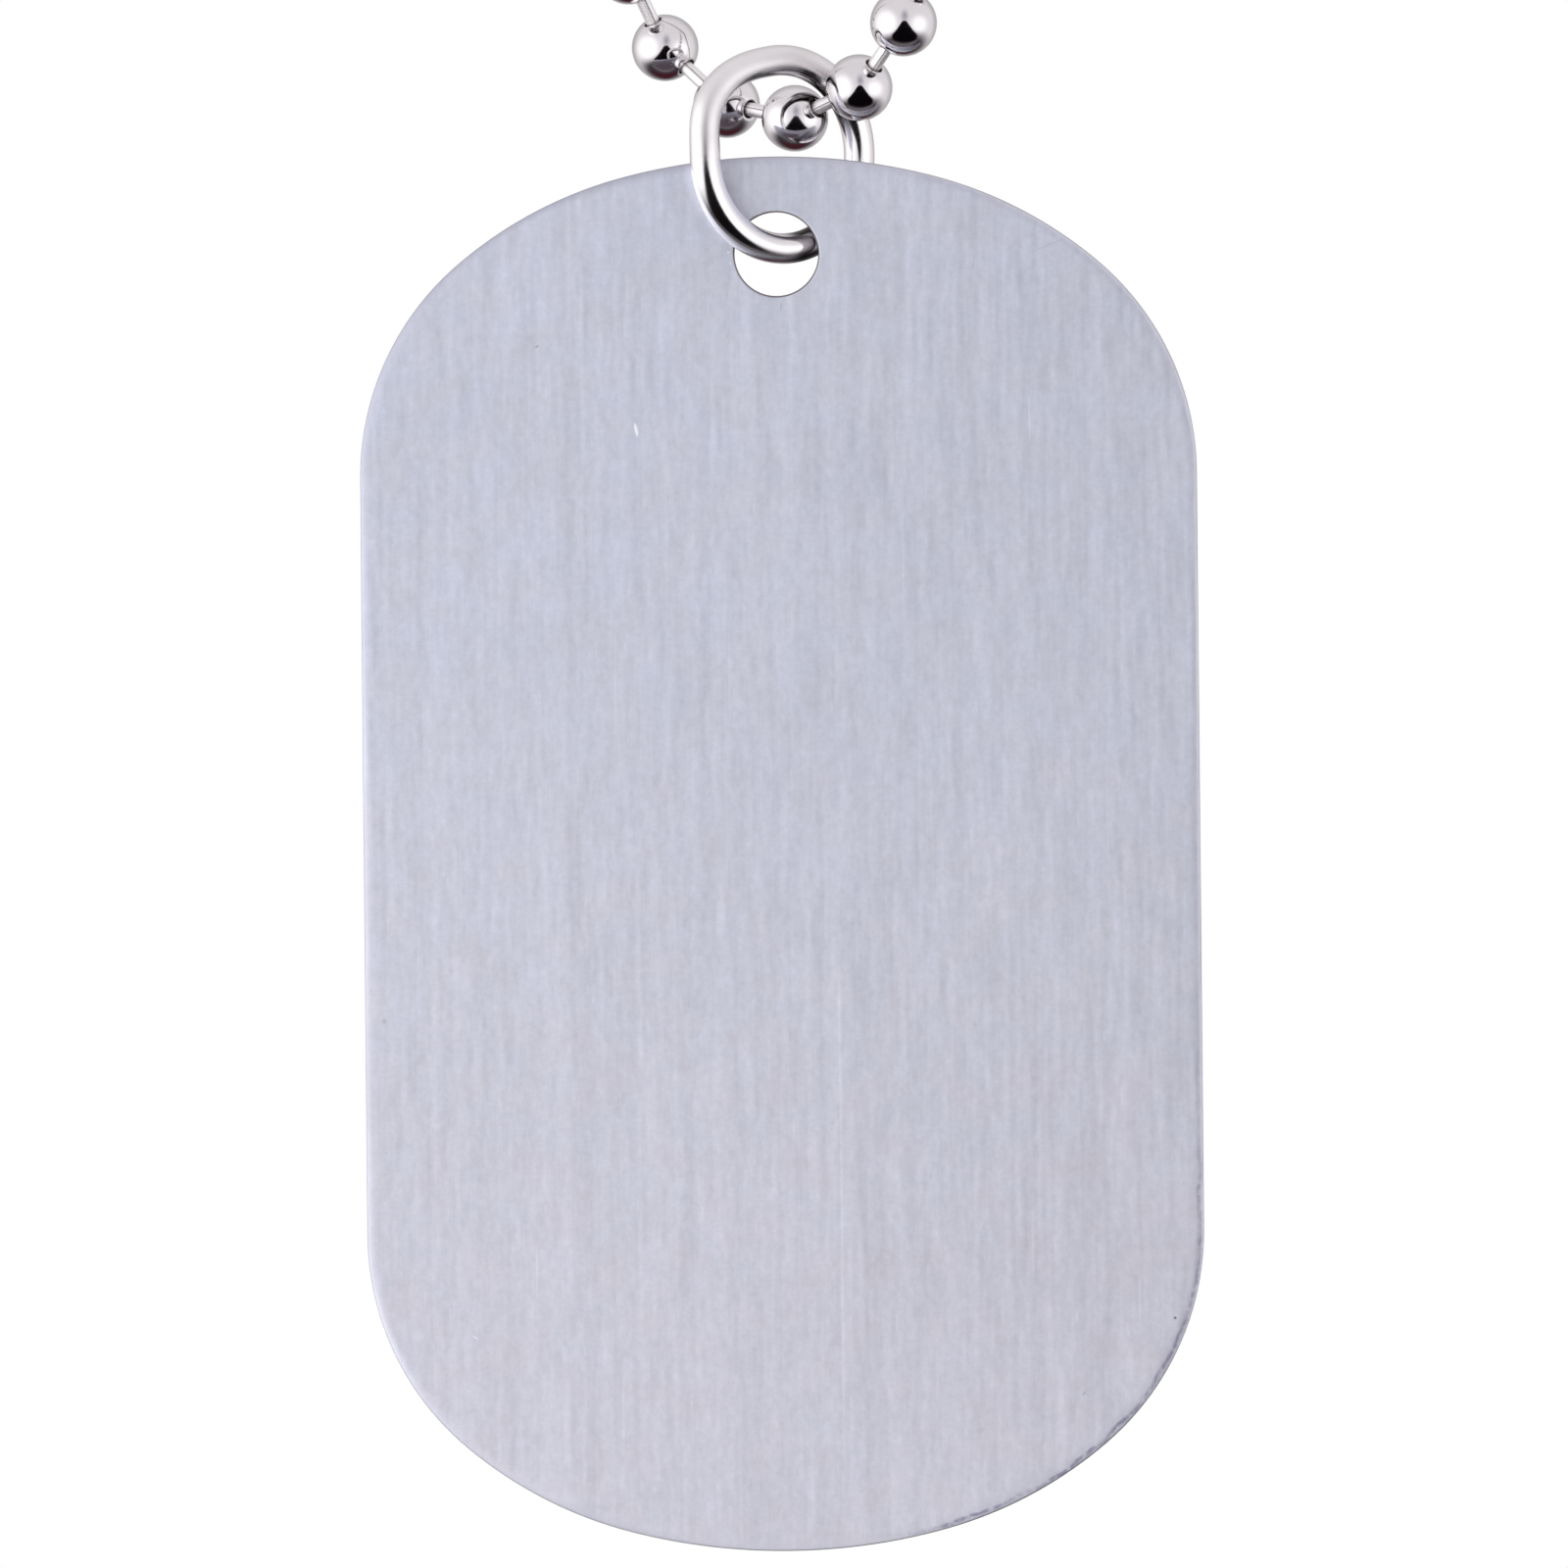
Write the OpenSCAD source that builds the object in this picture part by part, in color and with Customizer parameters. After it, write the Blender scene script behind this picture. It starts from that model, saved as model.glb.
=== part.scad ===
// A dog tag necklace: a blank tag on a jump ring, hung from a loop of ball chain.
// X runs to the viewer's right, Y away from the viewer and Z up. The tag hangs in the XZ plane.
// The origin is under the clasp, at the top of the loop, where it rests on the nape.

/* [Tag] */
// Width of the tag
tag_w = 30; // [28:0.5:32]
// Height of the tag
tag_h = 50; // [46:0.5:54]
// Thickness of the plate
tag_t = 0.5; // [0.4:0.05:0.6]
// Radius of the middle of each end
end_r = 22; // [20:0.5:24]
// Half the width of the middle arc of each end
end_half = 5.5; // [4:0.25:6]
// Radius of the shoulders beside it
shoulder_r = 15; // [14:0.5:17]
// Radius of the corners that run into the straight sides
corner_r = 10; // [8:0.5:11]
// Diameter of the hole
hole_d = 3; // [2.9:0.05:3.4]
// Distance of the hole's centre from the top edge
hole_inset = 3.5; // [3.3:0.1:4]
// Width of the broken edge round the hole
hole_edge = 0.1; // [0.05:0.01:0.15]

/* [Jump ring] */
// Diameter of the ring's wire
ring_wire = 1.1; // [0.9:0.05:1.1]
// Radius of the ring at the middle of its wire
ring_r = 3.38; // [3.3:0.02:3.5]
// Turn of the ring's plane from the tag's
ring_yaw = 35; // [34:1:40]
// Height of the wire above the hole's centre, where it passes through
ring_rise = 0.2; // [0.1:0.05:0.3]
// Distance of the ring's centre to the right of the hole's
ring_aside = 0.24; // [0.2:0.01:0.28]
// Distance of the ring's centre behind the tag's middle
ring_behind = 0.13; // [0.1:0.01:0.16]

/* [Ball chain] */
// Diameter of a ball
bead_d = 2.4; // [2.2:0.05:2.4]
// Thickness of a ball's wall
bead_wall = 0.25; // [0.2:0.01:0.3]
// Diameter of the holes in a ball
bead_hole = 0.8; // [0.75:0.01:0.85]
// Distance from ball to ball
pitch = 3.3; // [3.2:0.02:3.36]
// Diameter of a link's bar, and of the wire that stands for the back links
bar_d = 0.5; // [0.4:0.02:0.5]
// Diameter of the head at each end of a link
head_d = 1; // [0.9:0.02:1]
// Thickness of that head
head_t = 0.2; // [0.15:0.01:0.2]
// Distance from a ball's centre to the head inside it
head_in = 0.45; // [0.42:0.01:0.46]
// Depth of the first ball of the stretch round the ring
first_y = 4.06; // [4:0.01:4.1]
// Balls of the front stretch past each end of the stretch round the ring
front_more = 5; // [3:1:8]

/* [Neck loop] */
// Radius of the round part of the loop
loop_r = 77.5; // [70:0.5:85]
// Height of the round part's centre above the tag's centre
loop_rise = 186; // [180:1:200]

/* [Clasp] */
// Diameter of the sleeve
clasp_d = 3.4; // [3.3:0.1:4]
// Length of the sleeve
clasp_len = 8; // [8:0.2:10]
// Thickness of its wall
clasp_wall = 0.3; // [0.2:0.05:0.3]
// Diameter of the hole in each of its ends
clasp_hole = 1.1; // [1:0.05:1.2]
// Distance from the sleeve's middle to the ball that it holds at each side
clasp_ball = 2.4; // [2.4:0.02:2.44]

/* [Hidden] */
$fn = 48;
// Straight pieces in each arc of the tag's outline
arc_steps = 12;
// Sides of the back wire, and balls from one ring of its points to the next
wire_sides = 8;
beads_per_ring = 2;
// Bend at a ball, in radians, up to which its two holes lie opposite each other
straight_enough = 0.1;

// The stretch round the ring, from left to right. Across and up are from the ring's centre.
// Way is 1 where a ball lies behind the one before it, and -1 where it lies in front.
// The depth itself follows from the distance between balls.
ACROSS = 0;
UP = 1;
WAY = 2;
ROUND_THE_RING = [
    [-5.45, 6.68, 0],
    [-4.17, 3.93, 1],
    [-1.98, 1.85, -1],
    [0.47, 1.31, -1],
    [2.78, 2.36, -1],
    [4.39, 4.64, -1]
];

// Heights of the loop's centre, the tag's centre and, from that, the hole, and the ring's centre
loop_z = clasp_d / 2 - loop_r;
tag_z = loop_z - loop_rise;
hole_z = tag_h / 2 - hole_inset;
ring_c = [ring_aside, ring_behind, tag_z + hole_z + ring_rise + ring_r];

// Centres and turning angles of the arcs of the tag's upper right quarter, from straight up
end_turn = asin(end_half / end_r);
shoulder_gap = end_r - shoulder_r;
shoulder_c = [shoulder_gap * sin(end_turn), tag_h / 2 - end_r + shoulder_gap * cos(end_turn)];
corner_gap = shoulder_r - corner_r;
corner_turn = asin((tag_w / 2 - corner_r - shoulder_c.x) / corner_gap);
corner_c = [tag_w / 2 - corner_r, shoulder_c.y + corner_gap * cos(corner_turn)];

function arc(centre, r, from, to) = [
    for (k = [1:arc_steps])
        let (a = from + (to - from) * k / arc_steps)
        centre + r * [sin(a), cos(a)]
];
quarter = concat(
    arc([0, tag_h / 2 - end_r], end_r, 0, end_turn),
    arc(shoulder_c, shoulder_r, end_turn, corner_turn),
    arc(corner_c, corner_r, corner_turn, 90)
);
function backwards(list) = [for (k = [len(list) - 1:-1:0]) list[k]];
tag_outline = concat(
    [[0, tag_h / 2]],
    quarter,
    backwards([for (p = quarter) [p.x, -p.y]]),
    [[0, -tag_h / 2]],
    [for (p = quarter) [-p.x, -p.y]],
    backwards([for (p = quarter) [-p.x, p.y]])
);

// Depth of each ball round the ring
function depth_step(a, b) =
    sqrt(max(0, pow(pitch, 2) - pow(b[ACROSS] - a[ACROSS], 2) - pow(b[UP] - a[UP], 2)));
function depth(i) = i == 0
    ? first_y
    : depth(i - 1) + ROUND_THE_RING[i][WAY] * depth_step(ROUND_THE_RING[i - 1], ROUND_THE_RING[i]);
shown = [
    for (i = [0:len(ROUND_THE_RING) - 1])
        [ring_c.x + ROUND_THE_RING[i][ACROSS], depth(i), ring_c.z + ROUND_THE_RING[i][UP]]
];

// Each side of the loop leaves its last shown ball e straight, touches the round part and follows
// it up to the clasp. Side is -1 on the left and 1 on the right, and angles are from straight down.
end_angle = 180 - asin(clasp_ball / loop_r);
function on_loop(angle) = [loop_r * sin(angle), 0, loop_z - loop_r * cos(angle)];
function touch(e, side) = atan2(e.x, loop_z - e.z) + side * acos(loop_r / norm([e.x, e.z - loop_z]));
function straight(e, side) = norm(on_loop(touch(e, side)) - e);
function branch(e, side) = straight(e, side) + loop_r * (end_angle - abs(touch(e, side))) * PI / 180;
function count(e, side) = round(branch(e, side) / pitch);
function step(e, side) = branch(e, side) / count(e, side);
function along(e, side, d) =
    let (run = straight(e, side), angle = touch(e, side))
    d <= run
        ? e + (on_loop(angle) - e) * d / run
        : on_loop(angle + side * (d - run) / loop_r * 180 / PI);
function side_beads(e, side) = [for (i = [1:count(e, side)]) along(e, side, i * step(e, side))];

first_shown = shown[0];
last_shown = shown[len(shown) - 1];
left_side = side_beads(first_shown, -1);
string = concat(backwards(left_side), shown, side_beads(last_shown, 1));
front_first = len(left_side) - front_more;
front_last = len(left_side) + len(shown) - 1 + front_more;

function unit(v) = v / norm(v);

// Turns what is drawn along Z so that it runs along a direction
module aim(way) {
    rotate([0, acos(way.z / norm(way)), atan2(way.y, way.x)])
    children();
}

module tag_hole() {
    cylinder(d = hole_d, h = 2 * tag_t, center = true);
    for (flip = [0, 180])
        rotate([flip, 0, 0])
        translate([0, 0, tag_t / 2 - hole_edge])
        cylinder(d1 = hole_d, d2 = hole_d + 4 * hole_edge, h = 2 * hole_edge);
}

module tag() {
    color("lightsteelblue")
    translate([0, 0, tag_z])
    rotate([90, 0, 0])
    difference() {
        linear_extrude(tag_t, center = true)
            polygon(tag_outline);
        translate([0, hole_z, 0])
            tag_hole();
    }
}

module jump_ring() {
    color("gainsboro")
    translate(ring_c)
    rotate([90, 0, ring_yaw])
    rotate_extrude()
    translate([ring_r, 0])
    circle(d = ring_wire);
}

// Half a ball's section, hollow, with a hole at its top and, if wanted, one at its foot
module bead_section(foot_hole) {
    low = foot_hole ? -bead_d : 0;
    difference() {
        circle(d = bead_d);
        circle(d = bead_d - 2 * bead_wall);
        translate([-bead_d, -bead_d]) square([bead_d, 2 * bead_d]);
        translate([-bead_d, low]) square([bead_d + bead_hole / 2, bead_d - low]);
    }
}

// A ball whose two holes lie opposite each other, along a direction
module straight_bead(way) {
    aim(way)
    rotate_extrude()
    bead_section(true);
}

// A ball where the chain bends, with a hole towards each of its neighbours
module bent_bead(before, after) {
    z = unit(before);
    y = unit(cross(after, z));
    x = cross(y, z);
    multmatrix([
        [x.x, y.x, z.x, 0],
        [x.y, y.y, z.y, 0],
        [x.z, y.z, z.z, 0],
        [0, 0, 0, 1]
    ])
    difference() {
        rotate_extrude()
            bead_section(false);
        rotate([0, -acos(unit(after) * z), 0])
            cylinder(d = bead_hole, h = bead_d);
    }
}

module bead(i) {
    last = len(string) - 1;
    before = string[max(i - 1, 0)] - string[i];
    after = string[min(i + 1, last)] - string[i];
    bent = i > 0 && i < last && norm(unit(before) + unit(after)) > straight_enough;
    translate(string[i])
    if (bent) bent_bead(before, after);
    else straight_bead(after - before);
}

// A bar between two balls, with a head inside each
module link(a, b) {
    reach = norm(b - a) - head_in;
    translate(a)
    aim(b - a)
    union() {
        translate([0, 0, head_in]) cylinder(d = bar_d, h = reach - head_in);
        translate([0, 0, head_in]) cylinder(d = head_d, h = head_t);
        translate([0, 0, reach - head_t]) cylinder(d = head_d, h = head_t);
    }
}

module front_beads() {
    color("silver")
    for (i = [front_first:front_last])
        bead(i);
}

module front_links() {
    color("gainsboro")
    for (i = [front_first:front_last - 1])
        link(string[i], string[i + 1]);
}

module back_beads() {
    color("silver")
    for (i = [0:len(string) - 1])
        if (i < front_first || i > front_last)
            bead(i);
}

// The back wire's route on one side: out of the last front ball, to where the side touches the
// round part, and then a point every few balls up to the ball inside the clasp
function wire_route(e, side) =
    let (
        run = straight(e, side),
        rest = branch(e, side) - run,
        turns = ceil(rest / (beads_per_ring * step(e, side)))
    )
    concat(
        [along(e, side, front_more * step(e, side) + head_in)],
        [for (k = [0:turns]) along(e, side, run + rest * k / turns)]
    );

// A tube of straight stretches along a route, drawn as one solid
module tube(route, d) {
    last = len(route) - 1;
    rings = [
        for (i = [0:last])
            let (
                way = unit(route[min(i + 1, last)] - route[max(i - 1, 0)]),
                across = unit([0, 1, 0] - way.y * way),
                over = cross(way, across)
            )
            for (k = [0:wire_sides - 1])
                let (a = 360 * k / wire_sides)
                route[i] + d / 2 * (cos(a) * across + sin(a) * over)
    ];
    walls = [
        for (i = [0:last - 1], k = [0:wire_sides - 1])
            let (next = (k + 1) % wire_sides, low = i * wire_sides, high = low + wire_sides)
            [low + k, high + k, high + next, low + next]
    ];
    start = [for (k = [0:wire_sides - 1]) k];
    end = [for (k = [wire_sides - 1:-1:0]) last * wire_sides + k];
    polyhedron(points = rings, faces = concat([start], walls, [end]));
}

module back_wire() {
    color("gainsboro") {
        tube(wire_route(first_shown, -1), bar_d);
        tube(wire_route(last_shown, 1), bar_d);
    }
}

module clasp() {
    color("silver")
    translate([0, 0, clasp_d / 2])
    rotate([0, 90, 0])
    difference() {
        cylinder(d = clasp_d, h = clasp_len, center = true);
        cylinder(d = clasp_d - 2 * clasp_wall, h = clasp_len - 2 * clasp_wall, center = true);
        cylinder(d = clasp_hole, h = clasp_len + 2 * clasp_wall, center = true);
    }
}

tag();
jump_ring();
front_beads();
front_links();
back_beads();
back_wire();
clasp();
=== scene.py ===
# %% [markdown]
# # A dog tag on a ball chain
# The necklace is a blank stamped tag on a jump ring, and the ring hangs from a whole loop of ball
# chain. The construction model already holds every piece at its real size, so this notebook only
# dresses it: it loads that model as a fixed frame, rebuilds each piece with the detail that a close
# photograph shows, and lights it as a small polished thing is lit.

# %% Load the frame
import math

import bmesh
import bpy
import numpy as np
from mathutils import Matrix, Vector


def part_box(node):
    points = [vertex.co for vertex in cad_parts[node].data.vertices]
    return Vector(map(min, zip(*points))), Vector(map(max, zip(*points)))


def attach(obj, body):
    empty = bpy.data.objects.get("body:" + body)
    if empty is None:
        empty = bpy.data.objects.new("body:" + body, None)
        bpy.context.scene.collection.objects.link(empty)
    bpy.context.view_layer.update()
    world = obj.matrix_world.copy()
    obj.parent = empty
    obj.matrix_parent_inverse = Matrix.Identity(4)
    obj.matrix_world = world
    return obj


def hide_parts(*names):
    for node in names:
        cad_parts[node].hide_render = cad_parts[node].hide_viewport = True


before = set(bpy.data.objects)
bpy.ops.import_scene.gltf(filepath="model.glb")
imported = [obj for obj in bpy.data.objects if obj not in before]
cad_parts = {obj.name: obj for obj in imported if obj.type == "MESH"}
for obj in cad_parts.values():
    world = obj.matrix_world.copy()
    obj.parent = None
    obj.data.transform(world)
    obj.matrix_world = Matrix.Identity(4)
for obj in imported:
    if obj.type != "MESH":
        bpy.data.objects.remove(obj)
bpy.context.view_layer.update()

MM = 0.001

# %% [markdown]
# ## What the frame tells
# Blender's pieces must land on the construction model's, so their sizes are read from it where a
# box can give them. The ring is a circle swept by a ball of the wire's size: its box is the wire's
# radius bigger, all round, than the box of the circle, so half the box's height gives the circle's
# radius, and half its width then gives how far the ring is turned from the tag's plane.

# %% Measure the tag and the ring
WIRE_R = 0.55 * MM

tag_low, tag_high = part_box("tag")
tag_centre = (tag_low + tag_high) / 2
tag_w, tag_t, tag_h = tag_high - tag_low

ring_low, ring_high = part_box("jump_ring")
ring_centre = (ring_low + ring_high) / 2
ring_r = (ring_high.z - ring_low.z) / 2 - WIRE_R
ring_yaw = math.acos(((ring_high.x - ring_low.x) / 2 - WIRE_R) / ring_r)
print(f"tag {tag_w / MM:.2f} x {tag_h / MM:.2f} x {tag_t / MM:.2f} mm")
print(f"ring of radius {ring_r / MM:.2f} mm, turned {math.degrees(ring_yaw):.1f} degrees")

# %% [markdown]
# ## The camera
# The photograph was taken from straight in front and from far away, since the near and the far
# balls look the same size. A long lens does the same here. The distance is a choice, and the lens
# follows from it: it has to give the photograph's number of pixels to the millimetre. Two metres
# put the balls at the back within three pixels of their places, and a much longer lens would leave
# the other views too far off. The frame was tilted a little, so the camera is rolled by that angle.

# %% Place the camera
PHOTO_SIDE = 1600
PIXELS_PER_MM = 28.456
CAMERA_AWAY = 2000 * MM
CAMERA_ROLL = math.radians(-0.55)
SENSOR = 36
NEAREST, FARTHEST = 0.02, 50
AIM_ACROSS, AIM_ABOVE = 0.09 * MM, 2.5 * MM
aim = Vector((AIM_ACROSS, 0, tag_centre.z + AIM_ABOVE))

camera = bpy.data.objects.new("camera", bpy.data.cameras.new("camera"))
bpy.context.scene.collection.objects.link(camera)
bpy.context.scene.camera = camera
camera.data.sensor_width = SENSOR
camera.data.lens = SENSOR * PIXELS_PER_MM * (CAMERA_AWAY / MM) / PHOTO_SIDE
camera.data.clip_start, camera.data.clip_end = NEAREST, FARTHEST
facing = Matrix.Rotation(math.radians(90), 4, "X") @ Matrix.Rotation(CAMERA_ROLL, 4, "Z")
camera.matrix_world = Matrix.Translation(aim - Vector((0, CAMERA_AWAY, 0))) @ facing
print(f"lens {camera.data.lens:.0f} mm at {CAMERA_AWAY:.2f} m")

# %% [markdown]
# ## Helpers for node trees
# Materials and Geometry Nodes are both trees of nodes. One helper adds a node, sets its options and
# fills its inputs, either with a value or with a wire from another node. The others are short names
# for what comes up again and again: arithmetic, a mix of colours, a range, noise, a value painted on
# the mesh, and a group. With them a tree reads from top to bottom like a recipe.


# %% Helpers for node trees
def add(tree, kind, inputs=None, **options):
    """A new node. Inputs go by name or number, and each is a value or another node's output."""
    made = tree.nodes.new(kind)
    for name, value in options.items():
        setattr(made, name, value)
    for key, value in (inputs or {}).items():
        if isinstance(value, bpy.types.NodeSocket):
            tree.links.new(value, made.inputs[key])
        else:
            made.inputs[key].default_value = value
    return made


def calc(tree, operation, *values):
    """One step of arithmetic on numbers or outputs."""
    return add(tree, "ShaderNodeMath", dict(enumerate(values)), operation=operation).outputs[0]


def calc_vector(tree, operation, *values):
    """The same for vectors. A length or a dot product comes out as a number."""
    made = add(tree, "ShaderNodeVectorMath", dict(enumerate(values)), operation=operation)
    return made.outputs["Value" if operation in ("LENGTH", "DOT_PRODUCT") else "Vector"]


def blend_colours(tree, factor, first, second, how="MIX"):
    """A mix of two colours, from the first at 0 to the second at 1."""
    mix = add(tree, "ShaderNodeMix", {0: factor, 6: first, 7: second}, data_type="RGBA",
              blend_type=how)
    return mix.outputs[2]


def remap(tree, value, low, high, new_low=0.0, new_high=1.0, smooth=True):
    """Value from low to high becomes new_low to new_high, and stays between them."""
    kind = "SMOOTHSTEP" if smooth else "LINEAR"
    made = add(tree, "ShaderNodeMapRange", {0: value, 1: low, 2: high, 3: new_low, 4: new_high},
               interpolation_type=kind)
    return made.outputs[0]


def noise(tree, place, clouds_per_m, detail=2.0, roughness=0.5):
    """Soft random clouds, as a value round a half."""
    made = add(tree, "ShaderNodeTexNoise", {"Vector": place, "Scale": clouds_per_m, "Detail": detail,
                                            "Roughness": roughness})
    return made.outputs[0]


def painted(tree, name):
    """A value that the mesh carries on its points."""
    return add(tree, "ShaderNodeAttribute", attribute_name=name).outputs["Fac"]


def new_group(name, kind, inputs, outputs):
    """A node group with named sockets, and its input and output nodes."""
    group = bpy.data.node_groups.new(name, kind)
    for in_out, sockets in (("INPUT", inputs), ("OUTPUT", outputs)):
        for label, socket_type, *default in sockets:
            socket = group.interface.new_socket(label, in_out=in_out, socket_type=socket_type)
            if default:
                socket.default_value = default[0]
    return group, group.nodes.new("NodeGroupInput"), group.nodes.new("NodeGroupOutput")


def use_group(tree, group, inputs):
    """The group placed in another tree, with its own values."""
    return add(tree, tree.bl_idname.replace("Tree", "Group"), inputs, node_tree=group)


def new_material(name):
    """A material and its tree of nodes."""
    material = bpy.data.materials.new(name)
    material.use_nodes = True
    return material, material.node_tree


def new_metal(name):
    """A bare metal, its tree of nodes and its shader."""
    material, tree = new_material(name)
    shader = tree.nodes["Principled BSDF"]
    shader.inputs["Metallic"].default_value = 1.0
    return material, tree, shader


print("helpers ready")

# %% [markdown]
# ## The grain of a brush
# Brushed metal is covered with fine parallel lines. Noise can draw them if its coordinates are
# squeezed across the lines and stretched along them. One such set looks ruled, so the tag needs
# several, and a set is a group that can be placed as often as it is needed. It puts out a value a
# little above or below nothing, and the material decides what that does: a colour, a roughness or a
# bump. Coordinates are the object's own, in metres, and the noise's scale makes them millimetres.


# %% The grain group
GRAIN_ROUGHNESS = 0.6


def make_grain():
    group, inside, outside = new_group(
        "grain", "ShaderNodeTree",
        [("Place", "NodeSocketVector"),
         ("Lines across per mm", "NodeSocketFloat", 6.0),
         ("Lines along per mm", "NodeSocketFloat", 0.3),
         ("Shift", "NodeSocketFloat", 0.0)],
        [("Lines", "NodeSocketFloat")])
    given = inside.outputs
    parts = add(group, "ShaderNodeSeparateXYZ", {0: given["Place"]}).outputs
    across = calc(group, "MULTIPLY", parts["X"], given["Lines across per mm"])
    deep = calc(group, "MULTIPLY", parts["Y"], given["Lines across per mm"])
    along = calc(group, "MULTIPLY", parts["Z"], given["Lines along per mm"])
    shifted = calc(group, "ADD", across, given["Shift"])
    squeezed = add(group, "ShaderNodeCombineXYZ", {0: shifted, 1: deep, 2: along}).outputs[0]
    lines = noise(group, squeezed, 1 / MM, roughness=GRAIN_ROUGHNESS)
    group.links.new(calc(group, "SUBTRACT", lines, 0.5), outside.inputs["Lines"])
    return group


GRAIN = make_grain()
print("grain group has", len(GRAIN.nodes), "nodes")

# %% [markdown]
# ## Nicks and scratches
# A tag that has been handled carries a few marks, and the eye finds them at once. Each one is a
# thin ellipse with soft ends: the group turns and scales the coordinates so that the ellipse becomes
# a unit circle, and the distance from its middle gives the mask. Painting them would need an image,
# and cutting them would need a very dense mesh for lines a tenth of a millimetre wide.


# %% The mark group
def make_mark():
    group, inside, outside = new_group(
        "mark", "ShaderNodeTree",
        [("Place", "NodeSocketVector"),
         ("Centre", "NodeSocketVector"),
         ("Turn", "NodeSocketFloat", 0.0),
         ("Half width", "NodeSocketFloat", 0.0001),
         ("Half length", "NodeSocketFloat", 0.001)],
        [("Mask", "NodeSocketFloat")])
    given = inside.outputs
    offset = calc_vector(group, "SUBTRACT", given["Place"], given["Centre"])
    aligned = add(group, "ShaderNodeVectorRotate", {"Vector": offset, "Angle": given["Turn"]},
                  rotation_type="Y_AXIS")
    parts = add(group, "ShaderNodeSeparateXYZ", {0: aligned.outputs[0]}).outputs
    across = calc(group, "DIVIDE", parts["X"], given["Half width"])
    along = calc(group, "DIVIDE", parts["Z"], given["Half length"])
    far = calc(group, "ADD", *[calc(group, "MULTIPLY", part, part) for part in (across, along)])
    group.links.new(remap(group, far, 1.0, 0.0), outside.inputs["Mask"])
    return group


MARK = make_mark()
print("mark group has", len(MARK.nodes), "nodes")

# %% [markdown]
# ## Brushed aluminium
# The tag is a blank of rolled aluminium, brushed from end to end. Its face is neither a mirror nor
# matt: it takes the tone of the whole room in front of it, and the brush lines run down it as fine
# light and dark hairs. So the material is a metal of middling roughness, whose colour, roughness
# and bump all follow the same lines. The tone of its face is built up first: the lines, a few dark
# specks, and the marks. The photograph shows only the front's marks, so they stay off the back.

# %% Where the marks are
PHOTO_TAG_CENTRE = (798, 870.5)


def on_tag(px, py):
    """A pixel of the photograph as a place on the tag's front, in metres."""
    across = (px - PHOTO_TAG_CENTRE[0]) / PIXELS_PER_MM
    up = -(py - PHOTO_TAG_CENTRE[1]) / PIXELS_PER_MM
    turn = -CAMERA_ROLL
    return Vector((across * math.cos(turn) + up * math.sin(turn), 0,
                   up * math.cos(turn) - across * math.sin(turn))) * MM + tag_centre


# pixel across, pixel down, half width and half length in mm, turn in degrees, tone
TAG_MARKS = [
    (649, 438, 0.07, 0.30, 12, 0.75),
    (548, 353, 0.10, 0.04, 20, -0.40),
    (1050, 430, 0.055, 1.0, 0, 0.12),
    (859, 1240, 0.07, 12.0, 0, 0.075),
    (856, 1060, 0.05, 3.0, 0, 0.07),
    (744, 690, 0.04, 2.6, 0, 0.06),
    (1054, 1270, 0.085, 1.9, 0, 0.085),
    (548, 1297, 0.06, 1.2, 0, 0.10),
    (535, 1270, 0.03, 0.8, 0, 0.09),
    (636, 1438, 0.06, 2.0, 0, 0.085),
    (1199, 1344, 0.07, 0.065, 0, -0.75),
    (1163, 1322, 0.065, 1.1, 0, 0.11),
    (1099, 1343, 0.04, 0.28, 0, 0.10),
    (1106, 1421, 0.05, 0.13, -40, -0.22),
    (485, 1364, 0.045, 0.17, 60, 0.22),
    (434, 1325, 0.04, 0.50, 0, 0.09),
    (1073, 248, 0.04, 1.2, -68, -0.10),
    (797, 312, 0.03, 0.25, 0, -0.22),
    (628, 690, 0.035, 2.2, 0, 0.07),
    (921, 560, 0.04, 2.8, 0, 0.06),
    (470, 900, 0.04, 3.4, 0, 0.05),
    (1130, 840, 0.04, 2.0, 0, 0.06),
    (743, 257, 0.06, 0.06, 0, 0.30),
    (745, 268, 0.05, 0.09, 20, 0.25),
]
print("marks on the tag:", len(TAG_MARKS))

# %% [markdown]
# Five sets of lines of different width and length, and a few bright strokes, make up the brushing.
# The specks are the dots of a Voronoi texture, and its random colour says how strong each one is.
# More than half of them don't show at all.


# %% The tone of the face
# lines to the mm across and along, shift, amount
BRUSH_LINES = [(3.0, 0.28, 0.0, 0.16), (2.7, 0.03, 0.031, 0.17), (3.2, 0.9, 0.017, 0.19),
               (3.6, 2.6, 0.043, 0.19), (4.6, 8.0, 0.059, 0.12)]
STROKES = (4.2, 0.8, 0.083)
# the line's value where a stroke begins to show, and where it is full
STROKES_SHOW = (0.09, 0.20)
STROKE_TONE = 0.04
SPECKS_PER_M = 420
SPECK_SIZE = 0.055
SPECK_TONE = 0.16
HIDDEN_SPECKS = 0.55


def brush_lines(tree, place):
    """The first set of lines alone, and then all the sets and the strokes together."""
    def lines(across, along, shift):
        return use_group(tree, GRAIN, {"Place": place, "Lines across per mm": across,
                                       "Lines along per mm": along, "Shift": shift}).outputs[0]

    *widest, amount = BRUSH_LINES[0]
    hairs = lines(*widest)
    fine = calc(tree, "MULTIPLY", hairs, amount)
    for *others, amount in BRUSH_LINES[1:]:
        fine = calc(tree, "MULTIPLY_ADD", lines(*others), amount, fine)
    strokes = remap(tree, lines(*STROKES), *STROKES_SHOW, 0.0, STROKE_TONE)
    return hairs, calc(tree, "ADD", fine, strokes)


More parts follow.
